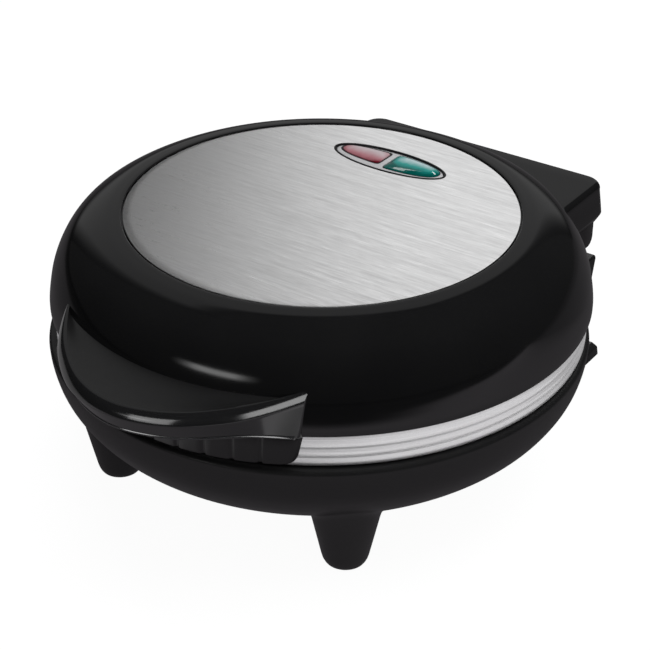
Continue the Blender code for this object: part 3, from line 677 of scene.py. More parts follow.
# ==== steel disc ======================================================================
def steel_disc():
    top = DISC_Z + DISC_T
    bm = bmesh.new()
    rim = ring_of(DISC_R, top)
    rows = [ring_of(DISC_R - 0.25, DISC_Z), ring_of(DISC_R, DISC_Z + 0.25), ring_of(DISC_R, top - 0.28)]
    for a in (30, 60, 90):
        t = math.radians(a)
        rows.append(ring_of(DISC_R - 0.28 * (1 - math.cos(t)), top - 0.28 + 0.28 * math.sin(t)))
    hole = [ellipse_through(rim, 27.35, 9.97, top), ellipse_through(rim, 27.2, 9.82, top - 0.1), ellipse_through(rim, 27.2, 9.82, DISC_Z)]
    inner = [(p[0] * 0.965 + h[0] * 0.035, p[1] * 0.965 + h[1] * 0.035, top) for p, h in zip(rim, hole[0])]
    skin(bm, rows + [inner] + hole, closed=True)
    obj = to_object(bm, "steel_disc", 30.0)
    uv = obj.data.uv_layers.new(name="brush")
    for loop in obj.data.loops:
        co = obj.data.vertices[loop.vertex_index].co
        uv.data[loop.index].uv = (co.x * 5.0, co.y * 5.0)
    return obj


finish_piece(steel_disc(), "lid", disc_steel, ["lid_disc"])

# ==== lamp bezel and lenses ============================================================
FLANGE_Z = DISC_Z + DISC_T + 0.05
FRAME_Z = FLANGE_Z - 0.35  # the silver frame lies a little lower than its black rim
LENS_Y = BEZEL_Y + 0.45


def oval(a, b, z, count=120):
    return [
        (BEZEL_X + a * math.cos(2 * math.pi * i / count), BEZEL_Y + b * math.sin(2 * math.pi * i / count), z)
        for i in range(count)
    ]


def window(inset, z, side, per=40):
    """Half of an ellipse with its straight side by the middle bar, round at the corners."""
    long, short, bar = (24.7, 6.4, 2.2) if side < 0 else (24.3, 7.4, 0.1)
    a, b, bar_half, corner = long - inset, short - inset, bar + inset, 2.2
    blunt = 0.86
    reach = math.acos(((bar_half + 0.9 * corner) / a) ** (1 / blunt))
    edge = math.acos((bar_half / a) ** (1 / blunt))
    arc = []
    for i in range(per + 1):
        t = reach - 2 * reach * i / per
        arc.append((a * math.cos(t) ** blunt, math.copysign(b * abs(math.sin(t)) ** blunt, t)))
    top = b * math.sin(reach) ** blunt
    full = b * math.sin(edge) ** blunt
    lead = []
    for i in range(7):
        t = i / 7
        # from the straight side up into the arc
        p0, p1, p2 = (bar_half, top - corner), (bar_half, full), arc[0]
        lead.append(tuple((1 - t) ** 2 * u + 2 * t * (1 - t) * v + t * t * w for u, v, w in zip(p0, p1, p2)))
    tail = [(x, -y) for x, y in reversed(lead)]
    return [(BEZEL_X + side * x, LENS_Y + y + (0.8 if side < 0 else 0.1), z) for x, y in lead + arc + tail]


def bezel_ring():
    bm = bmesh.new()
    rows = [
        oval(25.5, 8.4, 108.6), oval(25.5, 8.4, 111.12), oval(27.1, 9.72, 111.12), oval(27.15, 9.77, FLANGE_Z + 0.02),
        oval(27.14, 9.76, FLANGE_Z + 0.14), oval(27.0, 9.62, FLANGE_Z + 0.24), oval(26.6, 9.22, FLANGE_Z + 0.26),
        oval(26.36, 8.98, FLANGE_Z + 0.1), oval(26.3, 8.92, FLANGE_Z - 0.1), oval(26.26, 8.88, 111.5),
        oval(25.2, 8.1, 111.45), oval(24.9, 7.8, 108.6),
    ]
    skin(bm, rows, closed=True)
    return to_object(bm, "bezel_ring", 30.0)


finish_piece(bezel_ring(), "lid", bezel_black, ["indicator_bezel"])


def bezel_frame():
    bm = bmesh.new()
    low = FRAME_Z - 0.22
    rows = [
        oval(26.02, 8.58, low), oval(26.06, 8.62, low + 0.07), oval(25.98, 8.54, low + 0.15),
        oval(25.8, 8.36, low + 0.2), oval(25.5, 8.06, low + 0.22),
    ]
    skin(bm, rows, cap=(True, True))
    obj = to_object(bm, "bezel_frame", 30.0)
    for side in (-1, 1):
        tool = bmesh.new()
        skin(tool, [window(0.06, z, side) for z in (FLANGE_Z - 3.0, FLANGE_Z + 3.0)])
        boolean(obj, to_object(tool, "tool_window"), "DIFFERENCE")
    edge = obj.modifiers.new("edge", "BEVEL")
    edge.width, edge.segments, edge.limit_method, edge.angle_limit = 0.00018, 2, "ANGLE", math.radians(50)
    reshade(obj, 35.0)
    return obj


finish_piece(bezel_frame(), "lid", frame_silver, ["indicator_bezel"])

for side, name, node, mat, slot in (
    (-1, "red_lamp_lens", "power_lens", red_lens, "red_lens"),
    (1, "green_lamp_lens", "ready_lens", green_lens, "green_lens"),
):
    bm = bmesh.new()
    # an upright edge, a sloping bevel all round and a slightly crowned top
    first, last = (0.92, 1.9) if side < 0 else (0.42, 2.7)
    rows = [(first, 109.2), (first, FRAME_Z + 0.1), (first + 0.05, FRAME_Z + 0.2), (first + 0.16, FRAME_Z + 0.3)]
    rise = 0.42 * (last - first - 0.16)
    rows += [(first + 0.16 + (last - first - 0.16) * t, FRAME_Z + 0.3 + rise * t) for t in (0.33, 0.66, 1.0)]
    rows += [(last + 0.22, FRAME_Z + 0.36 + rise), (last + 0.5, FRAME_Z + 0.4 + rise), (last + 1.3, FRAME_Z + 0.46 + rise)]
    loops = [window(inset, z, side) for inset, z in rows]
    mid_x = BEZEL_X + side * 12.2
    loops.append([(mid_x, LENS_Y, FRAME_Z + 0.56 + rise)])
    skin(bm, loops)
    finish_piece(to_object(bm, name, 40.0), "lid", mat, [node])
    bm = bmesh.new()
    skin(
        bm,
        [window(1.0 if side < 0 else 0.75, 110.2, side), window(0.0, 110.2, side), window(0.0, FRAME_Z - 0.1, side), window(0.1, FRAME_Z + 0.04, side),
         window(0.5 if side < 0 else 0.36, FRAME_Z + 0.06, side), window(1.0 if side < 0 else 0.5, FRAME_Z - 0.12, side)],
        closed=True,
    )
    finish_piece(to_object(bm, name.replace("lens", "seat"), 30.0), "lid", bezel_black, ["indicator_bezel"])

# ==== silver ring ======================================================================
RING = [
    (106.9, 62.7), (108.35, 62.7), (108.5, 63.1), (108.62, 64.2), (108.58, 65.4), (108.52, 66.2), (108.38, 66.65), (108.54, 67.1),
    (108.72, 67.9), (108.78, 68.9), (108.64, 70.1), (108.43, 70.85), (108.56, 71.35), (108.7, 72.3), (108.62, 74.2), (108.25, 76.6),
    (108.2, 78.9), (106.9, 78.9), (106.9, 68.3), (100.0, 68.3), (100.0, 67.3), (106.0, 67.3), (106.0, 62.7),
]
RING_RADII = [0.1, 0.12, 0.3, 0.6, 0.6, 0.4, 0.2, 0.4, 0.6, 0.6, 0.6, 0.22, 0.5, 0.8, 0.8, 0.4, 0.2, 0.1, 0.1, 0.1, 0.1, 0.1, 0.1]
finish_piece(
    turned("trim_ring", rounded(RING, RING_RADII, 3), closed=True, sharp=40.0), "lid", ring_silver, ["lid_trim_ring"]
)


# ==== handle ===========================================================================
def dome_r(z):
    """Radius of the lid's outside at a height."""
    for (r0, z0), (r1, z1) in zip(LID_CURVE, LID_CURVE[1:]):
        if z1 <= z <= z0:
            return r0 + (r1 - r0) * (z - z0) / (z1 - z0)
    return 110.2


def handle_lines(x):
    """The rim's inner edge and the wall's lower edge: their y, the height of the rim and of the lower edge,
    the radius of the rim's crest and the height of its face."""
    a = abs(x)
    inner = -131.35 + 0.0134 * x * x - 0.35 * math.exp(-(((a - 26.0) / 10.0) ** 2))
    lower = -131.7 + 0.947 * (math.sqrt(x * x + 900.0) - 30.0) + 2.0 * max(0.0, (a - 47.0) / 9.5) ** 2.5
    top = HANDLE_TOP_Z + 2.7 * (a / 56.0) ** 3
    low_z = 80.0 - 0.75 * math.exp(-(((a - 24.0) / 10.0) ** 2)) - 3.0 * max(0.0, (a - 42.0) / 14.5) ** 2.5
    crest = 3.4 - 2.5 * max(0.0, (a - 40.0) / 16.6) ** 1.5
    face = 2.2 + 1.0 * (a / 56.0) ** 3
    # the left half has a tighter crest and a wider face
    left = math.exp(-(((x + 27.0) / 15.0) ** 2))
    crest, face = crest - 1.3 * left, face + 1.7 * left
    return inner, lower, top, low_z, crest, face


def handle_section(x):
    """One upright slice of the handle: flat scoop, round rim, leaning wall, underside; then the sheet that
    floors the scoop, and the bead. Its ends run on into the lid's wall."""
    inner, lower, top, low_z, crest, face = handle_lines(x)
    across = math.sqrt(1 + (0.027 * x) ** 2)
    floor_z = 90.8 + 0.3 * (top - HANDLE_TOP_Z)

    def sunk(z, depth=0.8):
        r = dome_r(z) - depth
        return -math.sqrt(r * r - x * x)

    seat = max(sunk(floor_z), inner + 0.3)
    scoop = []
    for k in range(10):
        t = k / 10
        rise = t**3 * (4 - 3 * t)
        scoop.append((seat + (inner - seat) * t, floor_z + (top - floor_z) * rise - 0.45 * math.sin(math.pi * t)))
    # a round crest, then a nearly flat face, then the edge where it turns into the wall
    rim, y, z, last = [(inner, top)], inner, top, 90.0
    for radius, angles in ((crest, (80, 70, 60, 51, 43, 36)), (face / 0.346, (33, 30, 27, 24, 21, 18, 14)), (0.7, (8, 0, -8, -14))):
        for a in angles:
            y -= across * radius * (math.cos(math.radians(a)) - math.cos(math.radians(last)))
            z -= radius * (math.sin(math.radians(last)) - math.sin(math.radians(a)))
            rim.append((y, z))
            last = a
    edge_y, edge_z = rim[-1]
    wall = [(edge_y + (lower - edge_y) * t, edge_z + (low_z + 0.3 - edge_z) * t) for t in (0.08, 0.24, 0.42, 0.6, 0.78, 0.92, 1.0)]
    wall.append((lower + 0.5, low_z - 0.06))
    under = max(-math.sqrt(109.3**2 - x * x), lower + 1.0)
    below = [(lower + 0.5 + (under - lower - 0.5) * t, low_z - 0.06 + (75.8 - low_z + 0.06) * t) for t in (0.3, 0.65, 1.0)]
    back = [(max(sunk(z), under), z) for z in (77.5, 80.0, 83.5, 87.0)]
    back = [(max(y, seat + (under - seat) * (floor_z - z) / (floor_z - 75.8)), z) for y, z in back]
    line = [(y, z - 0.35) for y, z in scoop] + rim + wall + below + back
    sheet = scoop + [(inner - 0.05, top)] + [(inner - 0.05, top - 0.3)] + [(y, z - 0.3) for y, z in reversed(scoop)]
    mid_y, mid_z = lower + 0.2, low_z + 0.42
    bead = [
        (mid_y - 0.66 * across * math.cos(math.radians(a)), mid_z + 0.66 * math.sin(math.radians(a)))
        for a in (112, 90, 72, 56, 42, 30, 19, 8, -4, -18, -36, -60, -90)
    ]
    return [[(x, y, z) for y, z in part] for part in (line, sheet, bead)]


def turn(points, degrees=0.6):
    """The handle and its grip sit a little to the right of the middle."""
    c, s_ = math.cos(math.radians(degrees)), math.sin(math.radians(degrees))
    return [(x * c - y * s_, x * s_ + y * c, z) for x, y, z in points]


def handle():
    """Its body, the satin floor of the scoop, and the fine bead along the wall's lower edge."""
    count = 60
    parts = []
    for part, (name, reach) in enumerate((("front_handle", 56.0), ("handle_scoop", 52.1), ("handle_bead", 55.6))):
        bm = bmesh.new()
        skin(bm, [turn(handle_section(reach * math.sin(math.pi / 2 * i / count))[part]) for i in range(-count, count + 1)])
        parts.append(to_object(bm, name, 38.0))
    return parts


for obj, mat in zip(handle(), (handle_black, scoop_black, handle_black)):
    finish_piece(obj, "lid", mat, ["lid_handle"])


def grip():
    """The block under the handle, with upright grooves across its front."""
    grooves = [0.15 + 5.65 * k for k in range(-4, 5)]
    stations = []
    for g in grooves:
        stations += [(g + d, depth) for d, depth in ((-0.72, 0.0), (-0.5, 0.12), (-0.3, 0.42), (-0.12, 0.6), (0.12, 0.6), (0.3, 0.42), (0.5, 0.12), (0.72, 0.0))]
    for g, h in zip(grooves, grooves[1:]):
        stations += [(g + (h - g) * t, 0.0) for t in (0.3, 0.5, 0.7)]
    stations += [(s * GRIP_DEG + m, depth) for s, m, depth in (
        (-1, 0.0, 1.4), (-1, 0.35, 0.85), (-1, 0.8, 0.4), (-1, 1.4, 0.1), (-1, 2.2, 0.0), (-1, 4.5, 0.0), (-1, 6.8, 0.0),
        (1, -4.8, 0.0), (1, -3.6, 0.0), (1, -2.2, 0.0), (1, -1.4, 0.1), (1, -0.8, 0.4), (1, -0.35, 0.85), (1, 0.0, 1.4),
    )]
    stations.sort()
    bm = bmesh.new()
    loops = []
    for deg, depth in stations:
        end = max(0.0, (abs(deg) - 26.8) / (GRIP_DEG - 26.8))
        low = 63.6 + 3.4 * (1 - math.sqrt(max(0.0, 1 - end * end)))
        outer = 110.2 + 1.7 * math.cos(math.radians(min(90.0, abs(deg) * 3.0))) - depth
        loop = []
        for r, z in (
            (108.85, low), (outer - 0.9, low), (outer - 0.35, low + 0.12), (outer - 0.08, low + 0.4), (outer, low + 0.9),
            (outer, 70.0), (outer, 74.6), (outer - 0.15, 75.1), (outer - 0.5, 75.3), (108.85, 75.3),
        ):
            t = math.radians(deg - math.copysign(0.11 * (76.0 - z) * (abs(deg) / GRIP_DEG) ** 6, deg))
            loop.append((r * math.sin(t), -r * math.cos(t), z))
        loops.append(turn(loop))
    skin(bm, loops)
    return to_object(bm, "ribbed_grip", 34.0)


finish_piece(grip(), "lid", grip_black, ["handle_grip"])

# ==== base =============================================================================
BOWL_CURVE = flow(
    [
        (71.0, 23.3), (82.6, 25.2), (91.2, 28.7), (97.4, 33.0), (102.8, 38.4), (106.7, 44.2), (108.6, 48.4), (109.8, 52.6),
        (110.6, 57.0), (110.85, 60.2),
    ],
    7,
)


def base_bowl():
    shift = (0.0, BASE_SHIFT_Y)
    rows = [[(0.0, BASE_SHIFT_Y, 23.0)]]
    rows += [ring_of(r, z, N, shift) for r, z in ((30.0, 23.0), (60.0, 23.02), (66.0, 23.08))]
    rows += [ring_of(r, z, N, shift) for r, z in BOWL_CURVE]
    rows += [ring_of(r, z, N, shift) for r, z in ((110.75, 60.75), (110.5, 61.3), (110.0, 61.7), (109.3, 61.9))]
    rows += [ring_of(r, z) for r, z in ((105.8, 61.95), (105.45, 61.85), (105.3, 61.6), (105.3, 57.5))]
    inner = [(106.6, 52.0), (103.4, 45.0), (100.2, 39.6), (95.4, 34.8), (89.8, 31.0), (82.0, 27.7), (70.6, 25.8)]
    rows += [ring_of(r, z, N, shift) for r, z in inner]
    rows += [[(0.0, BASE_SHIFT_Y, 25.6)]]
    bm = bmesh.new()
    skin(bm, rows)
    return to_object(bm, "base_bowl", 34.0)


finish_piece(base_bowl(), "base", satin_black, ["base_shell"])


def bowl_core(name):
    """The space inside the bowl and half its wall, which cuts what stands on its outside."""
    core = [(0.0, 24.4), (70.6, 24.6), (82.2, 26.4), (90.5, 29.8), (96.7, 33.9), (101.8, 39.2), (104.9, 44.7), (108.1, 52.7)]
    core += [(109.7, 57.4), (109.9, 60.0), (109.9, 75.0), (0.0, 75.0)]
    return turned(name, core, 160, (0.0, BASE_SHIFT_Y))


TOWER = [
    (68.0, 29.6), (100.0, 14.4), (122.4, 14.4), (127.8, 40.0), (130.2, 50.2), (129.7, 51.7), (120.8, 51.7), (118.6, 57.8),
    (68.0, 57.8),
]


def tower():
    outline = rounded(TOWER, [0.0, 2.0, 2.2, 30.0, 1.0, 0.8, 0.5, 1.2, 0.0], 5)
    bm = bmesh.new()
    slab(bm, outline, -61.0, 61.0, 1.1, 4)
    obj = to_object(bm, "hinge_tower")
    for s in (-1, 1):
        hook = rounded([(55.0, 14.6), (68.8, 15.0), (71.6, 13.6), (72.3, 9.8), (69.0, 6.4), (58.5, 6.6), (55.0, 9.0)], [0, 1.0, 1.2, 1.2, 1.0, 1.0, 0], 4)
        rows = []
        for y, d in ((103.6, 0.7), (103.8, 0.25), (104.3, 0.0), (116.5, 0.0), (117.0, 0.25), (117.2, 0.7)):
            rows.append([(s * x, y, z) for x, z in (inset_loop(hook, d) if d else hook)])
        tool = bmesh.new()
        skin(tool, rows)
        boolean(obj, to_object(tool, "tool_hook"), "UNION")
    boolean(obj, bowl_core("tool_core"), "DIFFERENCE")
    slot = bmesh.new()
    skin(slot, [[(x, y, z) for x, y in rounded([(-5, 109.5), (5, 109.5), (5, 116.6), (-5, 116.6)], 1.2, 4)] for z in (49.0, 64.0)])
    boolean(obj, to_object(slot, "tool_slot"), "DIFFERENCE")
    inlet = bmesh.new()
    skin(inlet, [[(6.8 * math.sin(2 * math.pi * i / 48), y, 30.0 + 6.8 * math.cos(2 * math.pi * i / 48)) for i in range(48)] for y in (116.0, 134.0)])
    boolean(obj, to_object(inlet, "tool_inlet"), "DIFFERENCE")
    drop_slivers(obj)
    reshade(obj, 30.0)
    return obj


finish_piece(tower(), "base", satin_black, ["base_shell"])


def bowl_height(x, y):
    """Height of the bowl's outside over a point."""
    rho = math.hypot(x, y - BASE_SHIFT_Y)
    if rho <= BOWL_CURVE[0][0]:
        return 23.0 + 0.3 * max(0.0, (rho - 60.0) / 11.0)
    for (r0, z0), (r1, z1) in zip(BOWL_CURVE, BOWL_CURVE[1:]):
        if rho <= r1:
            return z0 + (z1 - z0) * (rho - r0) / (r1 - r0)
    return BOWL_CURVE[-1][1]


def foot(bm, cx, cy, count=80):
    """A tapered foot that runs up to the bowl with a small hollow fillet all round."""

    def radius(z):
        return 9.9 + 0.215 * (z - 6.8)

    lower = [(0.0, 7.3), (5.8, 7.3), (5.8, 0.9), (6.3, 0.8), (6.9, 0.85), (7.3, 1.1), (8.0, 1.6), (8.55, 2.4), (9.1, 3.6), (9.5, 5.0), (9.9, 6.8)]
    rows = [ring_of(r, z, count, (cx, cy)) for r, z in lower]
    spokes = []
    for i in range(count):
        a = 2 * math.pi * i / count
        c, s = math.cos(a), math.sin(a)
        low, high = 8.0, 60.0
        for _ in range(30):
            z = (low + high) / 2
            r = radius(z)
            if z < bowl_height(cx + r * c, cy + r * s):
                low = z
            else:
                high = z
        start = low - 3.4
        tip_r = radius(low) + 2.3
        tip_z = bowl_height(cx + tip_r * c, cy + tip_r * s)
        spokes.append((c, s, start, (radius(low), low), (tip_r, tip_z)))
    for k in range(1, 5):
        t = k / 4
        rows.append([(cx + radius(6.8 + (st - 6.8) * t) * c, cy + radius(6.8 + (st - 6.8) * t) * s, 6.8 + (st - 6.8) * t) for c, s, st, _, _ in spokes])
    for k in range(1, 8):
        t = k / 7
        ring = []
        for c, s, st, (r1, z1), (r2, z2) in spokes:
            r = (1 - t) ** 2 * radius(st) + 2 * t * (1 - t) * r1 + t * t * r2
            z = (1 - t) ** 2 * st + 2 * t * (1 - t) * z1 + t * t * z2
            ring.append((cx + r * c, cy + r * s, z))
        rows.append(ring)
    rows.append([(cx + (r2 - 0.2) * c, cy + (r2 - 0.2) * s, z2 + 1.0) for c, s, _, _, (r2, z2) in spokes])
    rows.append([(cx, cy, bowl_height(cx, cy) + 1.2)])
    skin(bm, rows)


def feet():
    bm = bmesh.new()
    for x, y in FEET.values():
        foot(bm, x, y)
    return to_object(bm, "base_feet", 34.0)


finish_piece(feet(), "base", feet_painted_lighter, ["base_shell"])


def hinge_ears():
    bm = bmesh.new()
    for s in (-1, 1):
        outline = [(110.6, 53.0), (118.4, 53.0)]
        for i in range(28):
            a = math.radians(-74 + 254 * i / 27)
            outline.append((HINGE_Y + EAR_R * math.cos(a), HINGE_Z + EAR_R * math.sin(a)))
        slab(bm, outline, s * 39.0, s * 49.6, 0.5)
    return to_object(bm, "hinge_ears", 30.0)


finish_piece(hinge_ears(), "base", satin_black, ["base_shell"])

for where, (x, y) in FEET.items():
    pad = [(0.0, 6.9), (5.3, 6.9), (5.4, 6.7), (5.5, 1.3), (5.4, 0.6), (5.1, 0.15), (4.7, 0.0), (3.9, 0.0), (3.5, 0.35), (0.0, 0.35)]
    finish_piece(turned("rubber_pad_" + where, pad, 64, (x, y)), "base", rubber, ["foot_pad_" + where])


def gland():
    rows = [
        (3.6, 120.6), (6.3, 120.6), (6.4, 120.8), (6.4, 126.1), (8.6, 126.1), (8.8, 126.4), (8.75, 127.6), (8.3, 128.5), (7.6, 128.7),
        (4.4, 128.7), (3.8, 128.4), (3.6, 127.8),
    ]
    bm = bmesh.new()
    loops = []
    for r, y in rows:
        a = [2 * math.pi * i / 64 for i in range(64)]
        loops.append([(r * math.sin(t), y + WALL_LEAN * r * math.cos(t), 30.0 + r * math.cos(t)) for t in a])
    skin(bm, loops, closed=True)
    return to_object(bm, "cord_bush", 34.0)


finish_piece(gland(), "base", rubber, ["cord_gland"])


# ==== cooking plates ====================================================================
def half_moon(inset, z, side):
    radius, chord = POCKET_R - inset, POCKET_X + inset
    corner = max(POCKET_CORNER - inset, 2.0)
    cx = chord + corner
    cy = math.sqrt((radius - corner) ** 2 - cx**2)
    turn_at = math.atan2(cy, cx)
    pts = []
    for i in range(14):
        a = math.pi + (turn_at - math.pi) * i / 13
        pts.append((cx + corner * math.cos(a), cy + corner * math.sin(a)))
    for i in range(1, 48):
        a = turn_at - 2 * turn_at * i / 48
        pts.append((radius * math.cos(a), radius * math.sin(a)))
    for i in range(14):
        a = -turn_at + (turn_at - math.pi) * i / 13
        pts.append((cx + corner * math.cos(a), -cy + corner * math.sin(a)))
    return [(side * x, y, z) for x, y in pts]


def plate(name, face, depth, up, bosses, boss_end):
    s = 1 if up else -1
    floor = face + s * depth
    far = floor + s * 2.6
    back = face + s * PLATE_T
    bm = bmesh.new()
    rim = [(PLATE_R - 0.9, face), (PLATE_R - 0.45, face + s * 0.12), (PLATE_R - 0.12, face + s * 0.45), (PLATE_R, face + s * 0.9)]
    skin(bm, [ring_of(r, z) for r, z in [(0.0, face)] + rim + [(PLATE_R, back), (0.0, back)]])
    obj = to_object(bm, name)
    for side in (-1, 1):
        tool = bmesh.new()
        levels = [(-2.6, face + s * 1.0), (-1.2, floor - s * 5.0), (1.6, floor + s * 0.4), (5.2, far)]
        skin(tool, [half_moon(i, z, side) for i, z in levels])
        boolean(obj, to_object(tool, "tool_back"), "UNION")
    for side in (-1, 1):
        tool = bmesh.new()
        levels = [(-1.7, face - s * 2.0)]
        for k in range(6):
            t = math.pi / 2 * k / 5
            levels.append((-1.3 + 1.3 * math.sin(t), face + s * 1.3 * (1 - math.cos(t))))
        levels += [(0.5, floor - s * 8.6), (1.4, floor - s * 5.6)]
        for k in range(1, 9):
            t = math.pi / 2 * k / 8
            levels.append((1.4 + 5.6 * (1 - math.cos(t)), floor - s * 5.6 * (1 - math.sin(t))))
        skin(tool, [half_moon(i, z, side) for i, z in levels])
        boolean(obj, to_object(tool, "tool_pocket"), "DIFFERENCE")
    drop_slivers(obj)
    reshade(obj, 26.0)
    return obj


LOWER_FACE, UPPER_FACE = PARTING_Z - 0.15, PARTING_Z + 0.15
finish_piece(
    plate("lower_cooking_plate", LOWER_FACE, 16.0, False, FEET.values(), 34.0), "base", cast_coated, ["lower_plate"]
)
finish_piece(
    plate("upper_cooking_plate", UPPER_FACE, 14.0, True, None, 88.0), "lid", cast_coated, ["upper_plate"]
)


def plate_bosses():
    for name, body, centres, z0, z1 in (
        ("lower_plate_bosses", "base", list(FEET.values()), 46.0, 34.0),
        ("upper_plate_bosses", "lid", [(sx * 51.0, sy * 51.0) for sx in (-1, 1) for sy in (-1, 1)], 78.0, 88.0),
    ):
        bm = bmesh.new()
        for x, y in centres:
            skin(bm, [ring_of(r, z, 32, (x, y)) for r, z in ((1.95, z0), (5.6, z0), (5.0, z1), (1.95, z1))], closed=True)
        obj = to_object(bm, name, 30.0)
        finish_piece(obj, body, cast_coated, ["lower_plate" if body == "base" else "upper_plate"])


plate_bosses()

# ==== finishes of the pieces that stay as constructed ======================================
KEPT = {
    "base_screw_": zinc,
    "lid_screw_": zinc,
    "handle_screw_": zinc,
    "hinge_pin_": zinc,
    "lower_heater": heater_metal,
    "upper_heater": heater_metal,
    "lower_reflector": sheet_metal,
    "upper_reflector": sheet_metal,
    "thermal_fuse": zinc,
    "terminal_block": ceramic,
    "thermostat": ceramic,
    "live_lead": silicone,
    "neutral_lead": silicone,
    "lid_live_lead": silicone,
    "lid_neutral_lead": silicone,
    "hinge_sleeve_": silicone,
    "power_lamp": glass,
    "ready_lamp": glass,
    "lamp_holder": satin_black,
}
for name, obj in frame["nodes"].items():
    if obj.hide_render:
        continue
    for key, mat in KEPT.items():
        if name.startswith(key):
            if not obj.material_slots:
                obj.data.materials.append(mat)
            for s in obj.material_slots:
                s.material = mat


# ==== studio ==============================================================================
AZ, EL, ROLL = math.radians(34.593), math.radians(30.779), math.radians(0.1568)
AWAY = Vector((-math.sin(AZ), math.cos(AZ), 0.0))  # level, from the camera towards the object
SIDE = Vector((math.cos(AZ), math.sin(AZ), 0.0))  # level, towards the picture's right


def floor():
    bm = bmesh.new()
    ring = [bm.verts.new((14.0 * math.cos(2 * math.pi * i / 96), 14.0 * math.sin(2 * math.pi * i / 96), 0.0)) for i in range(96)]
    bm.faces.new(ring)
    mesh = bpy.data.meshes.new("studio_floor")
    bm.to_mesh(mesh)
    bm.free()
    obj = bpy.data.objects.new("studio_floor", mesh)
    obj.location.z = -0.0002
    bpy.context.scene.collection.objects.link(obj)
    mat = bpy.data.materials.new("studio_floor")
    mat.use_nodes = True
    tree = mat.node_tree
    out = tree.nodes["Material Output"]
    tree.nodes.remove(tree.nodes["Principled BSDF"])
    path = tree.nodes.new("ShaderNodeLightPath")
    seen = tree.nodes.new("ShaderNodeBsdfDiffuse")
    seen.inputs["Color"].default_value = (0.09, 0.09, 0.09, 1.0)
    glow = tree.nodes.new("ShaderNodeEmission")
    glow.inputs["Color"].default_value = (1.0, 1.0, 1.0, 1.0)
    glow.inputs["Strength"].default_value = 0.96
    both = tree.nodes.new("ShaderNodeAddShader")
    # what the object's gloss sees of it: a pale grey that darkens away from the camera, with a painted shadow that dims
    # it near the object
    grey = tree.nodes.new("ShaderNodeBsdfDiffuse")
    grey.inputs["Color"].default_value = (0.02, 0.02, 0.02, 1.0)
    place = tree.nodes.new("ShaderNodeNewGeometry")
    along = tree.nodes.new("ShaderNodeVectorMath")
    along.operation = "DOT_PRODUCT"
    along.inputs[1].default_value = AWAY
    tree.links.new(place.outputs["Position"], along.inputs[0])
    sideways = tree.nodes.new("ShaderNodeVectorMath")
    sideways.operation = "DOT_PRODUCT"
    sideways.inputs[1].default_value = SIDE
    tree.links.new(place.outputs["Position"], sideways.inputs[0])
    radial = tree.nodes.new("ShaderNodeVectorMath")
    radial.operation = "LENGTH"
    tree.links.new(place.outputs["Position"], radial.inputs[0])
    strength = None
    # the radial factor is a painted shadow: it dims the glow within 0.27 m of the floor's middle, under and round the
    # object
    for source, start, stop, low, high in (
        (along, -0.20, 0.12, 0.29, 0.062), (along, -0.40, -0.31, 0.0, 1.0), (along, 0.40, 0.80, 1.0, 0.6), (sideways, -0.85, -0.65, 0.0, 1.0), (radial, 0.12, 0.27, 0.62, 1.0),
    ):
        part = tree.nodes.new("ShaderNodeMapRange")
        for key, v in (("From Min", start), ("From Max", stop), ("To Min", low), ("To Max", high)):
            part.inputs[key].default_value = v
        tree.links.new(source.outputs["Value"], part.inputs["Value"])
        if strength is None:
            strength = part.outputs["Result"]
        else:
            product = tree.nodes.new("ShaderNodeMath")
            product.operation = "MULTIPLY"
            tree.links.new(strength, product.inputs[0])
            tree.links.new(part.outputs["Result"], product.inputs[1])
            strength = product.outputs["Value"]
    even = tree.nodes.new("ShaderNodeEmission")
    even.inputs["Color"].default_value = (1.035, 0.968, 1.035, 1.0)
    tree.links.new(strength, even.inputs["Strength"])
    dim = tree.nodes.new("ShaderNodeAddShader")
    tree.links.new(grey.outputs[0], dim.inputs[0])
    tree.links.new(even.outputs[0], dim.inputs[1])
    mix = tree.nodes.new("ShaderNodeMixShader")
    tree.links.new(seen.outputs[0], both.inputs[0])
    tree.links.new(glow.outputs[0], both.inputs[1])
    tree.links.new(path.outputs["Is Camera Ray"], mix.inputs[0])
    tree.links.new(dim.outputs[0], mix.inputs[1])
    tree.links.new(both.outputs[0], mix.inputs[2])
    tree.links.new(mix.outputs[0], out.inputs["Surface"])
    mesh.materials.append(mat)


floor()


def world():
    made = bpy.data.worlds.new("studio")
    bpy.context.scene.world = made
    made.use_nodes = True
    tree = made.node_tree
    back = tree.nodes["Background"]
    back.inputs["Color"].default_value = (0.02, 0.02, 0.02, 1.0)
    back.inputs["Strength"].default_value = 1.0
    pale = tree.nodes.new("ShaderNodeBackground")
    pale.inputs["Color"].default_value = (0.96, 0.96, 0.96, 1.0)
    path = tree.nodes.new("ShaderNodeLightPath")
    mix = tree.nodes.new("ShaderNodeMixShader")
    tree.links.new(path.outputs["Is Camera Ray"], mix.inputs[0])
    tree.links.new(back.outputs[0], mix.inputs[1])
    tree.links.new(pale.outputs[0], mix.inputs[2])
    tree.links.new(mix.outputs[0], tree.nodes["World Output"].inputs["Surface"])


world()


def direction(az, el):
    """A unit vector from the object: az from the camera's side towards the picture's right, el above the floor."""
    a, e = math.radians(az), math.radians(el)
    return (SIDE * math.sin(a) - AWAY * math.cos(a)) * math.cos(e) + Vector((0, 0, 1)) * math.sin(e)


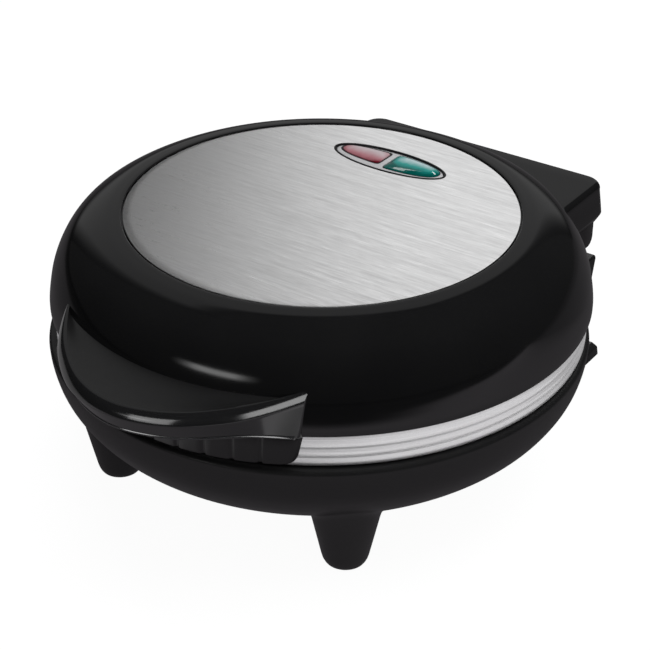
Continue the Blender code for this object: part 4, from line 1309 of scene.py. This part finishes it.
def soft_panel(name, corners, strength, distance, feather=0.12, glossy=True, diffuse=True):
    """A light panel that hangs round the object: four corners as (az, el), bottom left, bottom right, top right, top left.
    It fades towards its edges."""
    bm = bmesh.new()
    layer = bm.loops.layers.color.new("glow")
    grid = 28
    verts = []
    (a0, e0), (a1, e1), (a2, e2), (a3, e3) = corners
    for j in range(grid + 1):
        v = j / grid
        row = []
        for i in range(grid + 1):
            u = i / grid
            az = (a0 * (1 - u) + a1 * u) * (1 - v) + (a3 * (1 - u) + a2 * u) * v
            el = (e0 * (1 - u) + e1 * u) * (1 - v) + (e3 * (1 - u) + e2 * u) * v
            p = Vector((0, 0, 0.07)) + direction(az, el) * distance
            row.append((bm.verts.new(p), min(1.0, min(u, 1 - u) / feather) * min(1.0, min(v, 1 - v) / feather)))
        verts.append(row)
    for j in range(grid):
        for i in range(grid):
            face = bm.faces.new((verts[j][i][0], verts[j][i + 1][0], verts[j + 1][i + 1][0], verts[j + 1][i][0]))
            for loop, (jj, ii) in zip(face.loops, ((j, i), (j, i + 1), (j + 1, i + 1), (j + 1, i))):
                g = verts[jj][ii][1]
                loop[layer] = (g, g, g, 1.0)
    mesh = bpy.data.meshes.new(name)
    bm.to_mesh(mesh)
    bm.free()
    obj = bpy.data.objects.new(name, mesh)
    bpy.context.scene.collection.objects.link(obj)
    mat = bpy.data.materials.new(name)
    mat.use_nodes = True
    tree = mat.node_tree
    tree.nodes.remove(tree.nodes["Principled BSDF"])
    attribute = tree.nodes.new("ShaderNodeVertexColor")
    attribute.layer_name = "glow"
    emission = tree.nodes.new("ShaderNodeEmission")
    emission.inputs["Strength"].default_value = strength
    tree.links.new(attribute.outputs["Color"], emission.inputs["Color"])
    tree.links.new(emission.outputs[0], tree.nodes["Material Output"].inputs["Surface"])
    mesh.materials.append(mat)
    obj.visible_camera = False
    obj.visible_shadow = False
    obj.visible_glossy = glossy
    obj.visible_diffuse = diffuse
    return obj


# the bright backdrop behind the object, leaning to the left with height
backdrop = soft_panel("back_panel", [(217.0, -3.0), (143.0, -3.0), (148.0, 62.0), (239.0, 66.0)], 0.205, 2.2, 0.10)
# a narrow light at the front left, low
soft_panel("strip_left", [(-62.0, 13.0), (-22.0, 15.5), (-22.0, 22.5), (-62.0, 20.0)], 2.6, 1.8, 0.3, diffuse=False)


def key_light(name, position, aim, size, power, glossy=False):
    data = bpy.data.lights.new(name, "AREA")
    data.shape = "RECTANGLE"
    data.size, data.size_y = size
    data.energy = power
    obj = bpy.data.objects.new(name, data)
    bpy.context.scene.collection.objects.link(obj)
    obj.location = position
    obj.rotation_mode = "QUATERNION"
    obj.rotation_quaternion = (Vector(aim) - Vector(position)).to_track_quat("-Z", "Y")
    obj.visible_camera = False
    obj.visible_glossy = glossy
    return obj


key_light("overhead_key", Vector((0.25, 0.35, 1.9)), (0.0, 0.0, 0.05), (2.2, 2.2), 42.0)
key_light("front_fill", -AWAY * 1.6 + SIDE * 0.5 + Vector((0, 0, 1.2)), (0.0, 0.0, 0.05), (1.6, 1.2), 8.0)



def only_for(light, *pieces, leave_out=False):
    """Lets a light fall on the named pieces only, or on everything but them."""
    group = bpy.data.collections.new(light.name + "_pieces")
    for name in pieces:
        group.objects.link(bpy.data.objects[name])
    light.light_linking.receiver_collection = group
    if leave_out:
        for entry in group.collection_objects:
            entry.light_linking.link_state = "EXCLUDE"


def card(name, az, el, distance, size, radiance, *pieces, aim=(0.0, 0.0, 0.09)):
    """A soft card for the named pieces. radiance is how bright it looks in a mirror."""
    position = Vector(aim) + direction(az, el) * distance
    obj = key_light(name, position, aim, size, radiance * math.pi * size[0] * size[1], glossy=True)
    only_for(obj, *pieces)
    return obj


METAL = ("steel_disc", "trim_ring", "bezel_frame")
only_for(backdrop, *METAL, leave_out=True)
card("steel_right_back", 155.0, 34.0, 0.75, (0.72, 0.7), 1.16, *METAL)
card("steel_left_back", 218.0, 34.0, 0.9, (0.5, 0.6), 0.20, *METAL)
card("steel_front", 0.0, 40.0, 1.1, (1.2, 0.8), 0.30, *METAL)
floor_card = key_light("ring_from_floor", direction(40.0, 0.0) * 0.22 + Vector((0.0, 0.0, 0.004)), direction(40.0, 0.0) * 0.22 + Vector((0.0, 0.0, 1.0)), (0.9, 0.9), 0.50 * math.pi * 0.81, glossy=True)
only_for(floor_card, "trim_ring", "bezel_frame")
HANDLE_LEFT, HANDLE_RIGHT = (0.016, -0.128, 0.088), (0.051, -0.098, 0.088)
card("handle_left", -31.0, 21.0, 0.5, (0.30, 0.30), 2.9, "front_handle", aim=HANDLE_LEFT)
card("handle_right", 37.0, 16.0, 0.5, (0.25, 0.26), 4.2, "front_handle", aim=HANDLE_RIGHT)
card("bead_left", -40.0, 28.0, 0.5, (0.28, 0.60), 6.5, "handle_bead", aim=HANDLE_LEFT)
card("bead_right", 24.0, 28.0, 0.5, (0.30, 0.60), 6.0, "handle_bead", aim=HANDLE_RIGHT)
card("lens_glint", 204.0, 61.0, 0.5, (0.12, 0.035), 3.8, "green_lamp_lens", aim=(0.010, 0.048, 0.113))
card("lens_end_glint", 150.0, 52.0, 0.5, (0.10, 0.10), 8.0, "green_lamp_lens", aim=(0.020, 0.050, 0.113))


def floor_patch(name, az, near, far, half_width, radiance, origin, *pieces):
    """A bright patch of floor for the named pieces, between two distances from the origin along az."""
    out, across = direction(az, 0.0), direction(az + 90.0, 0.0)
    middle = Vector((origin[0], origin[1], 0.0)) + out * ((near + far) / 2)
    middle.z = 0.002
    size = (2 * half_width, far - near)
    obj = key_light(name, middle, (0.0, 0.0, 0.1), size, radiance * math.pi * size[0] * size[1], glossy=True)
    obj.rotation_quaternion = Matrix((across, out, (0.0, 0.0, -1.0))).transposed().to_quaternion()
    only_for(obj, *pieces)


floor_patch("handle_wall_right", 30.5, 0.13, 0.42, 0.145, 0.62, HANDLE_RIGHT, "front_handle")
floor_patch("handle_face_left", -128.0, 0.10, 0.90, 0.34, 0.22, (-0.030, -0.120), "front_handle")
floor_patch("grip_left", -84.0, 0.08, 0.30, 0.05, 0.3, (0.036, -0.106), "ribbed_grip")
floor_patch("ring_front", 42.0, 0.10, 0.50, 0.13, 0.46, (0.0, 0.0), "trim_ring")
# for the far side of the object and for the open lid
card("steel_low_front", 10.0, 13.0, 0.9, (1.3, 0.4), 0.9, "steel_disc")
card("rear_low", 192.0, 9.0, 0.9, (1.5, 0.34), 1.1, "hinge_tower", "hinge_ears", "base_feet")
card("plates_front", 12.0, 24.0, 0.9, (1.0, 0.7), 1.5, "lower_cooking_plate", "upper_cooking_plate")

# ==== camera ==============================================================================
data = bpy.data.cameras.new("photo_camera")
data.lens, data.sensor_width = 99.117, 36.0
data.clip_start, data.clip_end = 0.01, 100.0
camera = bpy.data.objects.new("photo_camera", data)
bpy.context.scene.collection.objects.link(camera)
back = Vector((math.sin(AZ) * math.cos(EL), -math.cos(AZ) * math.cos(EL), math.sin(EL)))
right = Vector((math.cos(AZ), math.sin(AZ), 0.0))
up = Vector((-math.sin(EL) * math.sin(AZ), math.sin(EL) * math.cos(AZ), math.cos(EL)))
r = right * math.cos(ROLL) + up * math.sin(ROLL)
u = -right * math.sin(ROLL) + up * math.cos(ROLL)
camera.matrix_world = Matrix(
    (
        (r.x, u.x, back.x, 0.363745),
        (r.y, u.y, back.y, -0.523772),
        (r.z, u.z, back.z, 0.437849),
        (0.0, 0.0, 0.0, 1.0),
    )
)
bpy.context.scene.camera = camera
bpy.context.scene.view_settings.view_transform = "Standard"
bpy.context.scene.view_settings.look = "None"

bpy.context.view_layer.update()
